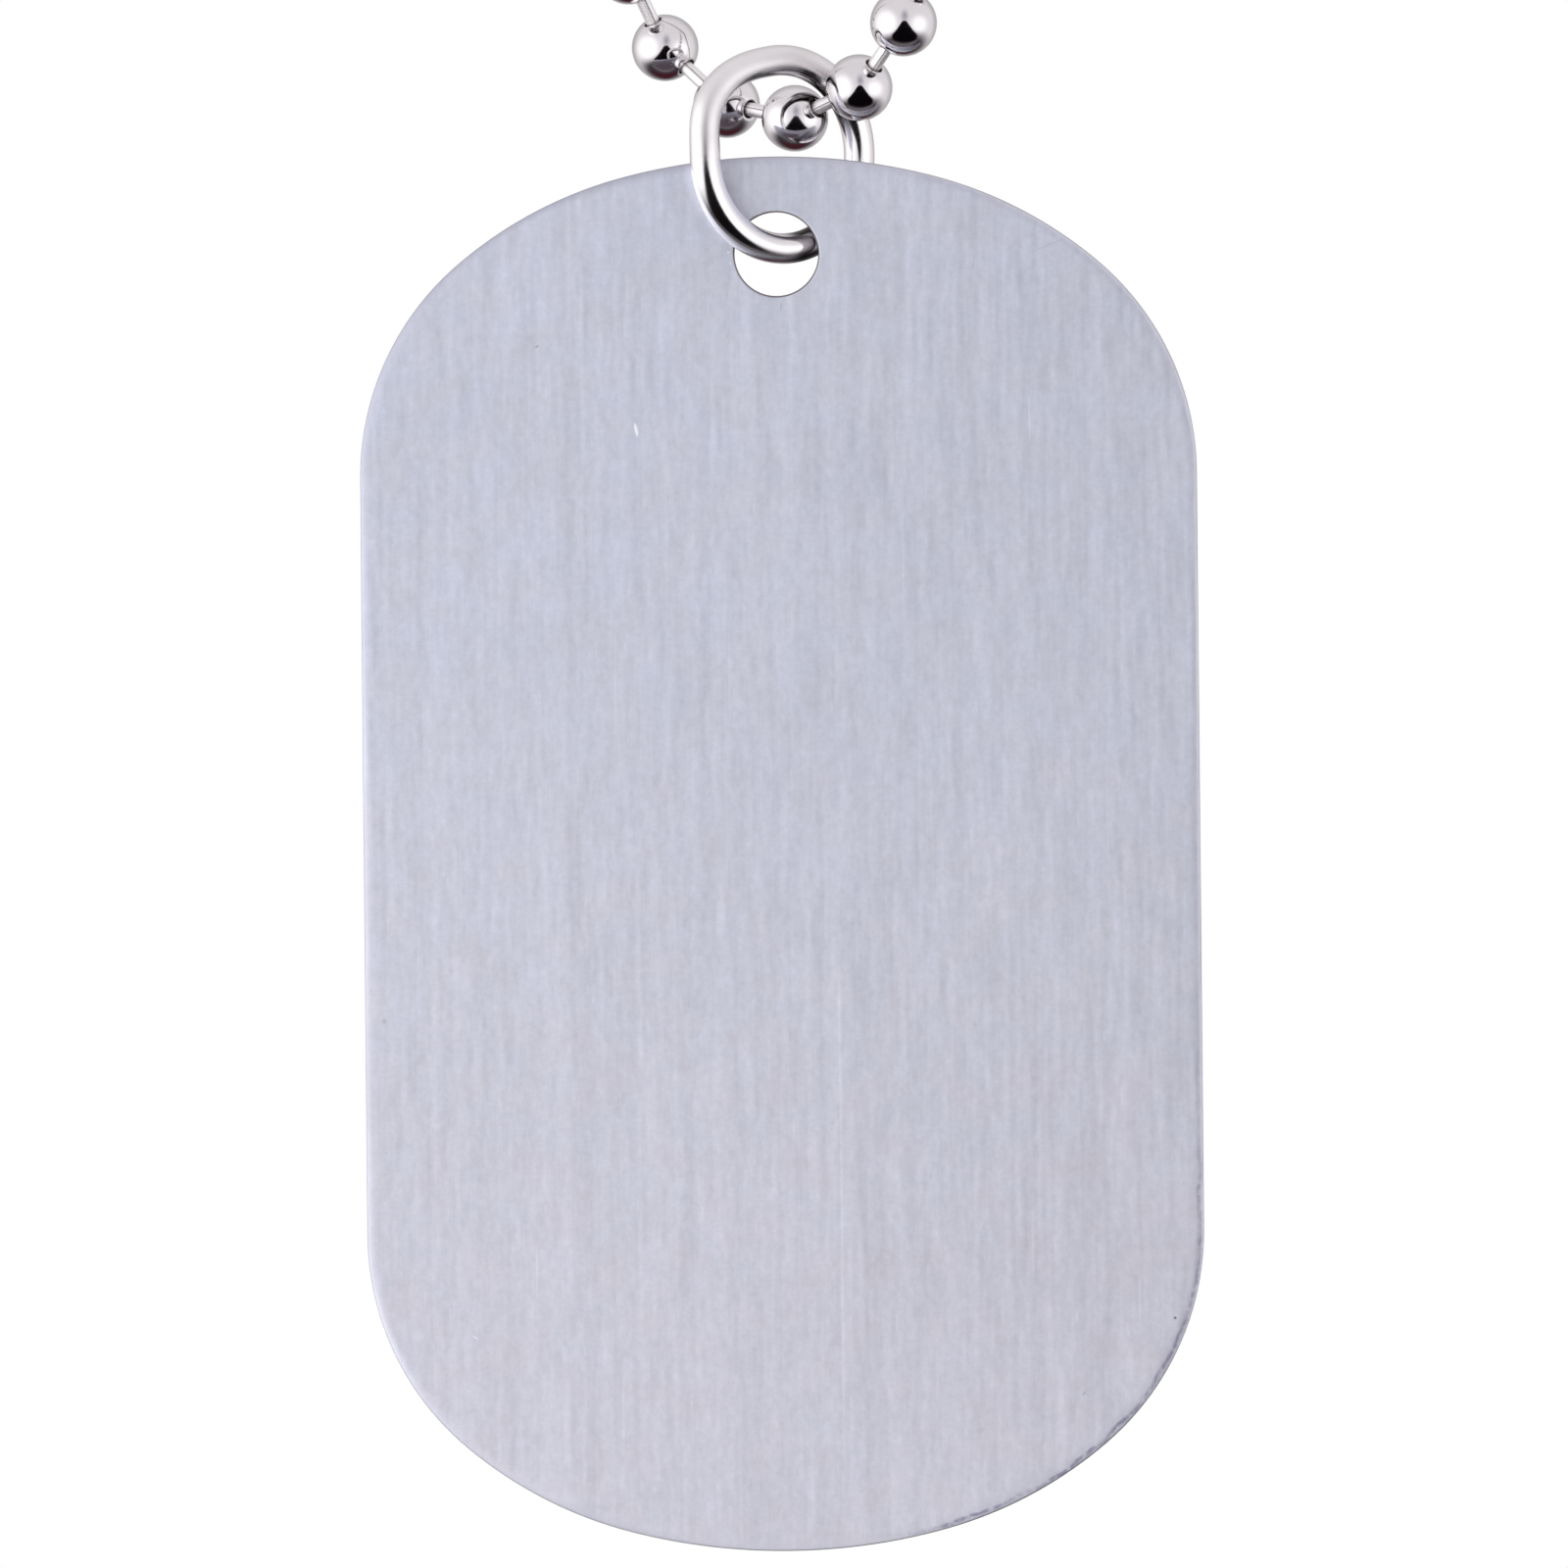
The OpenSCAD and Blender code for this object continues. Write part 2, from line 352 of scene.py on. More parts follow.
def specks(tree, place):
    """Small dots, each with a strength of its own."""
    dots = add(tree, "ShaderNodeTexVoronoi", {"Vector": place, "Scale": SPECKS_PER_M}).outputs
    chance = add(tree, "ShaderNodeSeparateColor", {0: dots["Color"]}).outputs[0]
    strength = remap(tree, chance, HIDDEN_SPECKS, 1.0, 0.0, SPECK_TONE, smooth=False)
    return calc(tree, "MULTIPLY", remap(tree, dots["Distance"], SPECK_SIZE, SPECK_SIZE / 3), strength)


def nicks_and_scratches(tree, place):
    """All the marks together, each lighter or darker than the face by its tone."""
    marks = 0.0
    for px, py, half_w, half_l, turn, tone in TAG_MARKS:
        mask = use_group(tree, MARK, {"Place": place, "Centre": on_tag(px, py).to_tuple(),
                                      "Turn": math.radians(turn), "Half width": half_w * MM,
                                      "Half length": half_l * MM}).outputs[0]
        marks = calc(tree, "MULTIPLY_ADD", mask, tone, marks)
    return marks


print("sets of brush lines:", len(BRUSH_LINES))

# %% [markdown]
# Three values painted on the mesh guide the rest of the material: rim marks the rolled edge, wall
# the inside of the hole, and inset is the distance from the outline in millimetres. The face has
# warmer clouds, and a painted reflection of the room makes it a little warmer towards its bottom.
# The rolled edge carries painted light: painted shade on the left, a painted highlight on the right,
# and where it turns away more painted shade, on the right most of all. The inside of the hole is
# painted in shade. A ragged dark line, partly grime and partly painted shade of the edge, follows
# inset along the edge at the lower right.

# %% The tag's material
PLATE_COOL = (0.650, 0.674, 0.784, 1)
PLATE_WARM = (0.6675, 0.659, 0.7355, 1)
CLOUDS_PER_M = 620
CLOUDS = (0.35, 0.7)
# random warm clouds, and the warmth of a painted reflection of the room towards the bottom, between these
# heights
CLOUD_WARMTH, BOTTOM_REFLECTED_WARMTH = 0.425, 0.575
REFLECTED_WARM_FROM, REFLECTED_WARM_TO = 12 * MM, -18 * MM
# painted light on the rolled edge: painted shade on its left, a painted highlight on its right
RIM_SHADE_LEFT = (0.43, 0.43, 0.50, 1)
RIM_HIGHLIGHT_RIGHT = (0.80, 0.80, 0.88, 1)
LEFT_RIM_TO, RIGHT_RIM_FROM = -8 * MM, 10 * MM
# painted shade where the rolled edge turns away, stronger on the right than on the left
TURN_SHADE_COLOUR = (0.24, 0.23, 0.27, 1)
LEFT_TURN_SHADE, RIGHT_TURN_SHADE = 0.3, 1.0
TURNS_AWAY = (0.6, 0.95)
# painted shade on the wall of the hole and its broken edges
HOLE_WALL_SHADE = (0.26, 0.24, 0.26, 1)
# a ragged dark line along the lower right edge, partly grime and partly painted shade of the edge
EDGE_GRIME_AND_SHADE_COLOUR = (0.26, 0.25, 0.38, 1)
WANDER_PER_M, PATCHES_PER_M, BLOTS_PER_M = 900, 450, 4200
# from the tag's middle, across and up: where the grime and painted shade begin, and where they are full
GRIME_AND_SHADE_ACROSS, GRIME_AND_SHADE_UP = (2.5 * MM, 6 * MM), (-4 * MM, -19 * MM)
GRIME_AND_SHADE_ABOVE, GRIME_AND_SHADE_BELOW = 0.12, 0.85
# in mm from the outline: where the line of grime and painted shade begins, how far in it wanders, and
# half its width
LINE_INSET, LINE_WANDER, LINE_HALF = -0.03, 0.36, 0.12
# in mm from the outline: where the haze of grime and painted shade along the edge begins, and where it is
# full
EDGE_HAZE = (0.55, 0.05)
LINE_AMOUNT, HAZE_AMOUNT = 0.8, 0.25
# the noise's value where there is least, and where there is most
PATCHES, BLOTS = (0.40, 0.60), (0.24, 0.60)
LEAST_PATCH = 0.5
FACE_ROUGH, HAIR_ROUGH, RIM_ROUGH = 0.40, 0.12, 0.06
BRUSH_BUMP = 0.2
BUMP_DEEP = 0.02 * MM


def edge_grime_and_shade(tree, place, across, up):
    """Grime and painted shade along the edge, which begin on the right and grow towards the bottom."""
    inset = painted(tree, "inset")
    line_at = calc(tree, "MULTIPLY_ADD", noise(tree, place, WANDER_PER_M), LINE_WANDER, LINE_INSET)
    off_line = calc(tree, "ABSOLUTE", calc(tree, "SUBTRACT", inset, line_at))
    on_line = remap(tree, off_line, LINE_HALF, 0.0, 0.0, LINE_AMOUNT)
    near_edge = remap(tree, inset, *EDGE_HAZE, 0.0, HAZE_AMOUNT)
    soiled_and_shaded = calc(tree, "MULTIPLY", remap(tree, across, *GRIME_AND_SHADE_ACROSS),
                  remap(tree, up, *GRIME_AND_SHADE_UP, GRIME_AND_SHADE_ABOVE, GRIME_AND_SHADE_BELOW))
    patches = remap(tree, noise(tree, place, PATCHES_PER_M), *PATCHES, LEAST_PATCH, 1.0)
    soiled_and_shaded = calc(tree, "MULTIPLY", soiled_and_shaded, patches)
    blots = remap(tree, noise(tree, place, BLOTS_PER_M, detail=3.0), *BLOTS)
    soiled_and_shaded = calc(tree, "MULTIPLY", soiled_and_shaded, blots)
    return calc(tree, "MULTIPLY", soiled_and_shaded, calc(tree, "ADD", near_edge, on_line))


def brushed_aluminium():
    material, tree, shader = new_metal("brushed_aluminium")
    place = add(tree, "ShaderNodeTexCoord").outputs["Object"]
    parts = add(tree, "ShaderNodeSeparateXYZ", {0: place}).outputs
    across = parts["X"]
    up = calc(tree, "SUBTRACT", parts["Z"], tag_centre.z)
    at_front = calc(tree, "LESS_THAN", parts["Y"], tag_centre.y)
    rim = painted(tree, "rim")

    hairs, fine = brush_lines(tree, place)
    brushed = calc(tree, "SUBTRACT", fine, specks(tree, place))
    tone = calc(tree, "MULTIPLY_ADD", nicks_and_scratches(tree, place), at_front, brushed)
    clouds = remap(tree, noise(tree, place, CLOUDS_PER_M), *CLOUDS, 0.0, CLOUD_WARMTH)
    # random warm clouds, and towards the bottom a painted reflection of the room
    warm_clouds_and_reflection = calc(tree, "ADD", clouds, remap(tree, up, REFLECTED_WARM_FROM, REFLECTED_WARM_TO, 0.0, BOTTOM_REFLECTED_WARMTH))
    tint = blend_colours(tree, warm_clouds_and_reflection, PLATE_COOL, PLATE_WARM)
    face = blend_colours(tree, 1.0, tint, calc(tree, "ADD", tone, 1.0), how="MULTIPLY")

    # the rolled edge's colour is painted light: darker on the left, brighter on the right
    to_right = remap(tree, across, LEFT_RIM_TO, RIGHT_RIM_FROM)
    rim_light_and_shade = blend_colours(tree, to_right, RIM_SHADE_LEFT, RIM_HIGHLIGHT_RIGHT)
    # painted shade where the rolled edge turns away, most on the right
    turn_shade = calc(tree, "MULTIPLY_ADD", to_right, RIGHT_TURN_SHADE - LEFT_TURN_SHADE, LEFT_TURN_SHADE)
    turn_shade = calc(tree, "MULTIPLY", turn_shade, remap(tree, rim, *TURNS_AWAY))
    colour = blend_colours(tree, rim, face, rim_light_and_shade)
    colour = blend_colours(tree, turn_shade, colour, TURN_SHADE_COLOUR)
    # grime and painted shade along the lower right edge
    colour = blend_colours(tree, edge_grime_and_shade(tree, place, across, up), colour, EDGE_GRIME_AND_SHADE_COLOUR)
    # painted shade inside the hole
    colour = blend_colours(tree, painted(tree, "wall"), colour, HOLE_WALL_SHADE)
    tree.links.new(colour, shader.inputs["Base Color"])

    rough = calc(tree, "MULTIPLY_ADD", hairs, HAIR_ROUGH, FACE_ROUGH)
    rough = calc(tree, "MULTIPLY_ADD", rim, RIM_ROUGH, rough)
    tree.links.new(rough, shader.inputs["Roughness"])
    cut = calc(tree, "MULTIPLY", fine, calc(tree, "SUBTRACT", 1.0, rim))
    bump = add(tree, "ShaderNodeBump", {"Strength": BRUSH_BUMP, "Distance": BUMP_DEEP, "Height": cut})
    tree.links.new(bump.outputs[0], shader.inputs["Normal"])
    return material


BRUSHED = brushed_aluminium()
print("the tag's material has", len(BRUSHED.node_tree.nodes), "nodes")

# %% [markdown]
# ## Polished nickel
# The ring, the balls and their bars are steel with a bright nickel coat. Polished nickel has almost
# no look of its own: it shows the room. What makes it real is small: a slightly warm tint, a little
# haze where it was handled, and a faint orange-peel bump. The meshes say where the rest goes:
# recess is the brown bloom at the edges of the balls' holes, where the coat is thin, rubbed is
# where the chain has worn the ring dull, and a third value marks the black painted shade in the
# tag's hole and inside the ring's top.


# %% Materials of the ring, balls, bars and clasp
HANDLED = (0.60, 0.57, 0.54, 1)
HANDLED_SHARE = 0.12
BLOOM = (0.26, 0.20, 0.18, 1)
# black painted shade, which the ring carries in the tag's hole and inside its top
SHADE_BLACK = (0.035, 0.030, 0.030, 1)
HANDLED_PER_M, PEEL_PER_M = 700, 1600
# the noise's value where handling begins to show, and where it is full
HANDLED_CLOUDS = (0.42, 0.72)
HANDLED_ROUGH, BLOOM_ROUGH, RUBBED_ROUGH = 0.05, 0.25, 0.26


def polished_nickel(name, colour, haze, peel):
    """Nickel of that colour, as rough as haze where nothing has worn it, with a bump of that peel."""
    material, tree, shader = new_metal(name)
    place = add(tree, "ShaderNodeTexCoord").outputs["Object"]
    recess = painted(tree, "recess")
    handled = remap(tree, noise(tree, place, HANDLED_PER_M, detail=3.0), *HANDLED_CLOUDS)
    worn_and_shaded = blend_colours(tree, calc(tree, "MULTIPLY", handled, HANDLED_SHARE), colour, HANDLED)
    worn_and_shaded = blend_colours(tree, recess, worn_and_shaded, BLOOM)
    # painted shade: black where the ring lies in the tag's hole and inside its top
    worn_and_shaded = blend_colours(tree, painted(tree, "painted_shade"), worn_and_shaded, SHADE_BLACK)
    tree.links.new(worn_and_shaded, shader.inputs["Base Color"])
    rough = calc(tree, "MULTIPLY_ADD", handled, HANDLED_ROUGH, haze)
    rough = calc(tree, "MULTIPLY_ADD", recess, BLOOM_ROUGH, rough)
    rough = calc(tree, "MULTIPLY_ADD", painted(tree, "rubbed"), RUBBED_ROUGH, rough)
    tree.links.new(rough, shader.inputs["Roughness"])
    skin = noise(tree, place, PEEL_PER_M)
    bump = add(tree, "ShaderNodeBump", {"Strength": peel, "Distance": BUMP_DEEP, "Height": skin})
    tree.links.new(bump.outputs[0], shader.inputs["Normal"])
    return material


RING_METAL = polished_nickel("ring_nickel", (0.90, 0.875, 0.88, 1), 0.15, 0.10)
BALL_METAL = polished_nickel("ball_nickel", (0.86, 0.835, 0.85, 1), 0.075, 0.08)
BAR_METAL = polished_nickel("bar_nickel", (0.98, 0.96, 0.97, 1), 0.48, 0.05)
CLASP_METAL = polished_nickel("clasp_nickel", (0.82, 0.805, 0.79, 1), 0.10, 0.20)
print("metals:", [m.name for m in bpy.data.materials])

# %% [markdown]
# ## The tag's plate
# The blank is punched from sheet. The punch pulls the front edge over into a soft roll and leaves
# the back edge almost sharp, and both edges of the hole are broken a little. A Boolean and a Bevel
# could cut this, but they leave a face with hundreds of corners, which can't take the sheet's slight
# waviness. Here the plate is one band of quads instead: spokes run from the hole to the outline, and
# each spoke's section goes over the front, round the rim, back behind and through the hole.

# %% The outline of the plate
END_R, END_HALF = 22 * MM, 5.5 * MM
SHOULDER_R, CORNER_R = 15 * MM, 10 * MM
SPOKES = 360
SAME_PLACE = 1e-9


def arc_points(centre, radius, start, stop, count=40):
    turns = np.linspace(start, stop, count, endpoint=False)
    return np.array(centre) + radius * np.c_[np.sin(turns), np.cos(turns)]


def tag_outline(count):
    """Points at equal steps round the outline, and its normals, about the tag's centre."""
    end_turn = math.asin(END_HALF / END_R)
    gap = END_R - SHOULDER_R
    shoulder = (gap * math.sin(end_turn), tag_h / 2 - END_R + gap * math.cos(end_turn))
    gap = SHOULDER_R - CORNER_R
    corner_turn = math.asin((tag_w / 2 - CORNER_R - shoulder[0]) / gap)
    corner = (tag_w / 2 - CORNER_R, shoulder[1] + gap * math.cos(corner_turn))
    quarter = np.vstack([
        arc_points((0, tag_h / 2 - END_R), END_R, 0, end_turn),
        arc_points(shoulder, SHOULDER_R, end_turn, corner_turn),
        arc_points(corner, CORNER_R, corner_turn, math.pi / 2),
        [[tag_w / 2, corner[1]]]])
    right = np.vstack([quarter, quarter[::-1] * [1, -1]])
    whole = np.vstack([right, right[::-1] * [-1, 1]])
    closed = np.vstack([whole, whole[:1]])
    steps = np.linalg.norm(np.diff(closed, axis=0), axis=1)
    apart = steps > SAME_PLACE
    closed, travelled = closed[np.r_[True, apart]], np.cumsum(np.r_[0, steps[apart]])
    at = np.linspace(0, travelled[-1], count, endpoint=False)
    points = np.c_[np.interp(at, travelled, closed[:, 0]), np.interp(at, travelled, closed[:, 1])]
    ahead, behind = np.roll(points, -1, axis=0), np.roll(points, 1, axis=0)
    way = (ahead - behind) / np.linalg.norm(ahead - behind, axis=1)[:, None]
    return points, np.c_[-way[:, 1], way[:, 0]], travelled[-1]


outline, outward, girth = tag_outline(SPOKES)
if outline[0] @ outward[0] < 0:
    outward = -outward
print(f"the outline is {girth / MM:.1f} mm round")

# %% [markdown]
# The section of a spoke is a short list of stages. Each stage says how far it is from the hole's
# edge or the outline, how deep it lies, and how much it counts as rim and as wall for the material.
# The edge was finished by hand, so the roll is a little wider here and narrower there. The sheet's
# waviness is a few sines of a hundredth of a millimetre: too small to see as a shape, and enough to
# let the light change a little across the face.

# %% The plate as one band of quads
HOLE_R, HOLE_DOWN, HOLE_EDGE = 1.5 * MM, 3.5 * MM, 0.07 * MM
ROLL_IN, ROLL_DOWN = 0.33 * MM, 0.055 * MM
BURR = 0.06 * MM
FACE_ROWS = 44
HOLE_STEPS, ROLL_STEPS, BURR_STEPS = 4, 7, 3
FIRST_STEP = 0.002
WAVE = 0.008 * MM
FAR_FROM_GRIME = 99.0


def quarter_round(wide, deep, count):
    """Steps of a quarter ellipse, from the flat face out to the wall, as (out, down, share)."""
    turns = np.linspace(0, math.pi / 2, count + 1)[1:]
    return [(wide * math.sin(t), deep * (1 - math.cos(t)), t / (math.pi / 2)) for t in turns]


def plate_section():
    """Rows of (from, distance, depth, rim, wall): from 0 is at the hole and 1 at the outline."""
    half = tag_t / 2
    rows = []
    for out, down, _ in reversed(quarter_round(HOLE_EDGE, HOLE_EDGE, HOLE_STEPS)):
        rows.append((0, HOLE_EDGE - out, -half + down, 0, 1))
    steps = np.r_[0, FIRST_STEP, np.linspace(0, 1, FACE_ROWS + 1)[1:-1], 1 - FIRST_STEP, 1]
    rows += [("face", t, -half, 0, 0) for t in steps]
    for out, down, share in quarter_round(ROLL_IN, ROLL_DOWN, ROLL_STEPS):
        rows.append((1, out - ROLL_IN, -half + down, share, 0))
    for out, down, share in reversed(quarter_round(BURR, BURR, BURR_STEPS)):
        rows.append((1, out - BURR, half - down, share, 0))
    rows += [("face", t, half, 0, 0) for t in steps[::-1]]
    for out, down, _ in quarter_round(HOLE_EDGE, HOLE_EDGE, HOLE_STEPS):
        rows.append((0, HOLE_EDGE - out, half - down, 0, 1))
    return rows


def wave(x, z):
    """How far the sheet stands out of true at a place on its face."""
    ripples = np.sin(x / (3.1 * MM) + 0.7) * np.cos(z / (4.3 * MM))
    return WAVE * (ripples + 0.6 * np.sin(z / (6.7 * MM) + x / (9.0 * MM)))


def paint(mesh, name, values):
    """A number for each point of the mesh, for its material to read."""
    mesh.attributes.new(name, "FLOAT", "POINT").data.foreach_set("value", values)


def tag_plate():
    hole = np.array([0, tag_h / 2 - HOLE_DOWN])
    ray = outline - hole
    reach = np.linalg.norm(ray, axis=1)[:, None]
    ray = ray / reach
    inner = hole + ray * (HOLE_R + HOLE_EDGE)
    round_once = np.linspace(0, 2 * math.pi, SPOKES, endpoint=False)[:, None]
    # the roll's width waves 7 times and 19 times round the outline
    uneven = 1 + 0.13 * np.sin(7 * round_once + 2) + 0.10 * np.sin(19 * round_once)
    outer = outline - outward * ROLL_IN * uneven
    burr_side = outline - outward * BURR
    places, rims, walls, insets = [], [], [], []
    for start, amount, depth, rim, wall in plate_section():
        inset = np.full(SPOKES, FAR_FROM_GRIME)
        if start == "face":
            edge = outer if depth < 0 else burr_side
            flat = inner + (edge - inner) * amount
            inset = (ROLL_IN * uneven[:, 0] + np.linalg.norm(edge - flat, axis=1)) / MM
        elif start == 0:
            flat = hole + ray * (HOLE_R + amount)
        else:
            amounts = amount * uneven if depth < 0 else np.full((SPOKES, 1), amount)
            flat = outline + outward * amounts
            inset = -amounts[:, 0] / MM
        deep = depth + wave(flat[:, 0], flat[:, 1])
        places.append(np.c_[flat[:, 0], deep, flat[:, 1]])
        rims.append(np.full(SPOKES, rim))
        walls.append(np.full(SPOKES, float(wall)))
        insets.append(inset)
    vertices = np.vstack(places) + np.array(tag_centre)
    rows = len(places)
    faces = [(r * SPOKES + s, r * SPOKES + (s + 1) % SPOKES,
              (r + 1) % rows * SPOKES + (s + 1) % SPOKES, (r + 1) % rows * SPOKES + s)
             for r in range(rows) for s in range(SPOKES)]
    mesh = bpy.data.meshes.new("tag_plate")
    mesh.from_pydata(vertices.tolist(), [], faces)
    for name, values in (("rim", rims), ("wall", walls), ("inset", insets)):
        paint(mesh, name, np.concatenate(values))
    return mesh


def outward_and_smooth(mesh):
    """Faces of a closed shell point out of it, and it is shaded smooth."""
    work = bmesh.new()
    work.from_mesh(mesh)
    bmesh.ops.recalc_face_normals(work, faces=work.faces)
    work.to_mesh(mesh)
    work.free()
    mesh.shade_smooth()
    return mesh


def show(name, mesh, material=None):
    """An object at the origin for a finished mesh."""
    piece = bpy.data.objects.new(name, mesh)
    bpy.context.scene.collection.objects.link(piece)
    if material:
        mesh.materials.append(material)
    return piece


plate = show("tag_plate", outward_and_smooth(tag_plate()), BRUSHED)
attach(plate, "tag")
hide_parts("tag")
print("tag plate:", len(plate.data.polygons), "faces")

# %% [markdown]
# ## The jump ring
# A jump ring is a length of round wire bent round until its cut ends meet. The cut never quite
# closes, so the ring is an arc that stops just short of a full turn, with a circle swept along it.
# Geometry Nodes do exactly that with an arc, a circle and Curve to Mesh. The Bevel modifier then
# breaks the sharp edges of the two cut ends. The cut is turned to lie behind the tag.

# %% The ring's tree
CUT_WIDTH = 0.05 * MM
CUT_AT = math.radians(-38)
CUT_EDGE, CUT_SEGMENTS = 0.05 * MM, 3
SHARP = math.radians(60)
RING_STEPS, WIRE_STEPS = 192, 32


def make_ring_tree():
    tree, inside, outside = new_group(
        "bent_ring", "GeometryNodeTree",
        [("Geometry", "NodeSocketGeometry"),
         ("Ring radius", "NodeSocketFloat", 0.003),
         ("Wire radius", "NodeSocketFloat", 0.0005),
         ("Cut width", "NodeSocketFloat", 0.00005),
         ("Cut at", "NodeSocketFloat", 0.0),
         ("Place", "NodeSocketVector"),
         ("Turn", "NodeSocketVector"),
         ("Metal", "NodeSocketMaterial")],
        [("Geometry", "NodeSocketGeometry")])
    given = inside.outputs
    cut = calc(tree, "DIVIDE", given["Cut width"], given["Ring radius"])
    start = calc(tree, "ADD", given["Cut at"], calc(tree, "MULTIPLY", cut, 0.5))
    sweep = calc(tree, "SUBTRACT", 2 * math.pi, cut)
    arc = add(tree, "GeometryNodeCurveArc", {"Resolution": RING_STEPS, "Radius": given["Ring radius"],
                                             "Start Angle": start, "Sweep Angle": sweep})
    wire = add(tree, "GeometryNodeCurvePrimitiveCircle", {"Resolution": WIRE_STEPS,
                                                          "Radius": given["Wire radius"]})
    swept = add(tree, "GeometryNodeCurveToMesh", {"Curve": arc.outputs["Curve"], "Fill Caps": True,
                                                  "Profile Curve": wire.outputs["Curve"]})
    placed = add(tree, "GeometryNodeTransform", {"Geometry": swept.outputs[0],
                                                 "Translation": given["Place"],
                                                 "Rotation": given["Turn"]})
    whole = add(tree, "GeometryNodeRealizeInstances", {0: placed.outputs[0]})
    smooth = add(tree, "GeometryNodeSetShadeSmooth", {"Geometry": whole.outputs[0]})
    coated = add(tree, "GeometryNodeSetMaterial", {"Geometry": smooth.outputs[0],
                                                   "Material": given["Metal"]})
    tree.links.new(coated.outputs[0], outside.inputs["Geometry"])
    return tree


def grow(piece, tree, values):
    """A Geometry Nodes modifier with its inputs set by their sockets' identifiers."""
    modifier = piece.modifiers.new(tree.name, "NODES")
    modifier.node_group = tree
    for item in tree.interface.items_tree:
        if item.in_out == "INPUT" and item.name in values:
            modifier[item.identifier] = values[item.name]
    return modifier


def settle(piece, drop=()):
    """The piece's modifiers made into a plain mesh, without the attributes it no longer needs."""
    bpy.context.view_layer.update()
    depsgraph = bpy.context.evaluated_depsgraph_get()
    mesh = bpy.data.meshes.new_from_object(piece.evaluated_get(depsgraph),
                                           preserve_all_data_layers=True, depsgraph=depsgraph)
    piece.modifiers.clear()
    piece.data = mesh
    for name in drop:
        if name in mesh.attributes:
            mesh.attributes.remove(mesh.attributes[name])
    return piece


ring = show("ring_wire", bpy.data.meshes.new("ring_wire"))
grow(ring, make_ring_tree(), {
    "Ring radius": ring_r, "Wire radius": WIRE_R, "Cut width": CUT_WIDTH, "Cut at": CUT_AT,
    "Place": ring_centre, "Turn": (math.radians(90), 0, ring_yaw), "Metal": RING_METAL})
bevel = ring.modifiers.new("broken_edges", "BEVEL")
bevel.width, bevel.segments = CUT_EDGE, CUT_SEGMENTS
bevel.limit_method, bevel.angle_limit = "ANGLE", SHARP
settle(ring)
print("ring:", len(ring.data.polygons), "faces")

# %% [markdown]
# A ring like this is closed by hand, so it isn't quite round: its upper left stands a little out of
# the true circle. The chain has rubbed it dull along its top and down its upper left, and black
# painted shade lies on the wire in the tag's hole and inside the ring's top. Most of these are
# stretches of the ring, given in degrees round it from its right side over its top, and they fade at
# both ends. The dull part is given by its middle instead, because it runs past 180 degrees, where the
# count jumps to -180. How far out a point lies says the rest, from -1 on the inside of the ring to 1
# on its outside.

# %% The ring's shape, wear and painted shade
OUT_OF_ROUND = 0.29 * MM
RING_WAY = np.array([math.cos(ring_yaw), math.sin(ring_yaw), 0])
UP = np.array([0, 0, 1])
# degrees over which each stretch rises, and over which it falls
BULGE = ((98, 144), (148, 180))
IN_HOLE = ((-96, -80), (-62, -48))
INSIDE_TOP = ((12, 35), (74, 85))
BY_LINK = ((8, 28), (58, 84))
INNER_LINE = ((76, 88), (118, 140))
# the dull part's middle in degrees, the cosines from it between which it fades, and how far out
DULL_MIDDLE, DULL_FADE, DULL_OUT = 112, (0.12, 0.60), (-0.75, -0.35)
# in the hole the painted shade lies on the outer and the inner side of the wire, and from here all round
# it
HOLE_OUTER, HOLE_INNER, HOLE_ALL_ROUND = (0.05, 0.5), (0.6, 0.85), (-75, -69)
# how far in each band of painted shade begins at first and in the end, over which degrees that
# changes, the band's fade, and how black it is
TOP_BAND, TOP_FADE, TOP_SHADE = (0.64, 0.38, (58, 72)), 0.17, 0.9
LINE_BAND, LINE_FADE, LINE_SHADE = (0.80, 0.40, (90, 120)), 0.14, 0.78
# how far in the wire begins to be free of painted shade again, and where it is quite free, except by the
# link
UNSHADED_INSIDE = (0.80, 0.93)


def eased(values, low, high):
    """0 below low, 1 above high, and a soft step between."""
    share = np.clip((values - low) / (high - low), 0, 1)
    return share * share * (3 - 2 * share)


def along_stretch(degrees, stretch):
    """1 along a stretch of the ring, and a soft step at each of its ends."""
    rise, fall = stretch
    return eased(degrees, *rise) * (1 - eased(degrees, *fall))


def ring_places(mesh):
    """Each point's place, its direction from the ring's centre, its degrees and how far out it is."""
    places = np.empty(len(mesh.vertices) * 3)
    mesh.vertices.foreach_get("co", places)
    places = places.reshape(-1, 3)
    offset = places - np.array(ring_centre)
    along, up = offset @ RING_WAY, offset @ UP
    away = np.hypot(along, up)
    radial = (along[:, None] * RING_WAY + up[:, None] * UP) / away[:, None]
    return places, radial, np.degrees(np.arctan2(up, along)), (away - ring_r) / WIRE_R


def shade_band(degrees, out, begins, ends, over, fade):
    """1 on the inside of the ring, from a depth that changes over those degrees."""
    depth = begins + (ends - begins) * eased(degrees, *over)
    return eased(-out - depth, 0, fade)


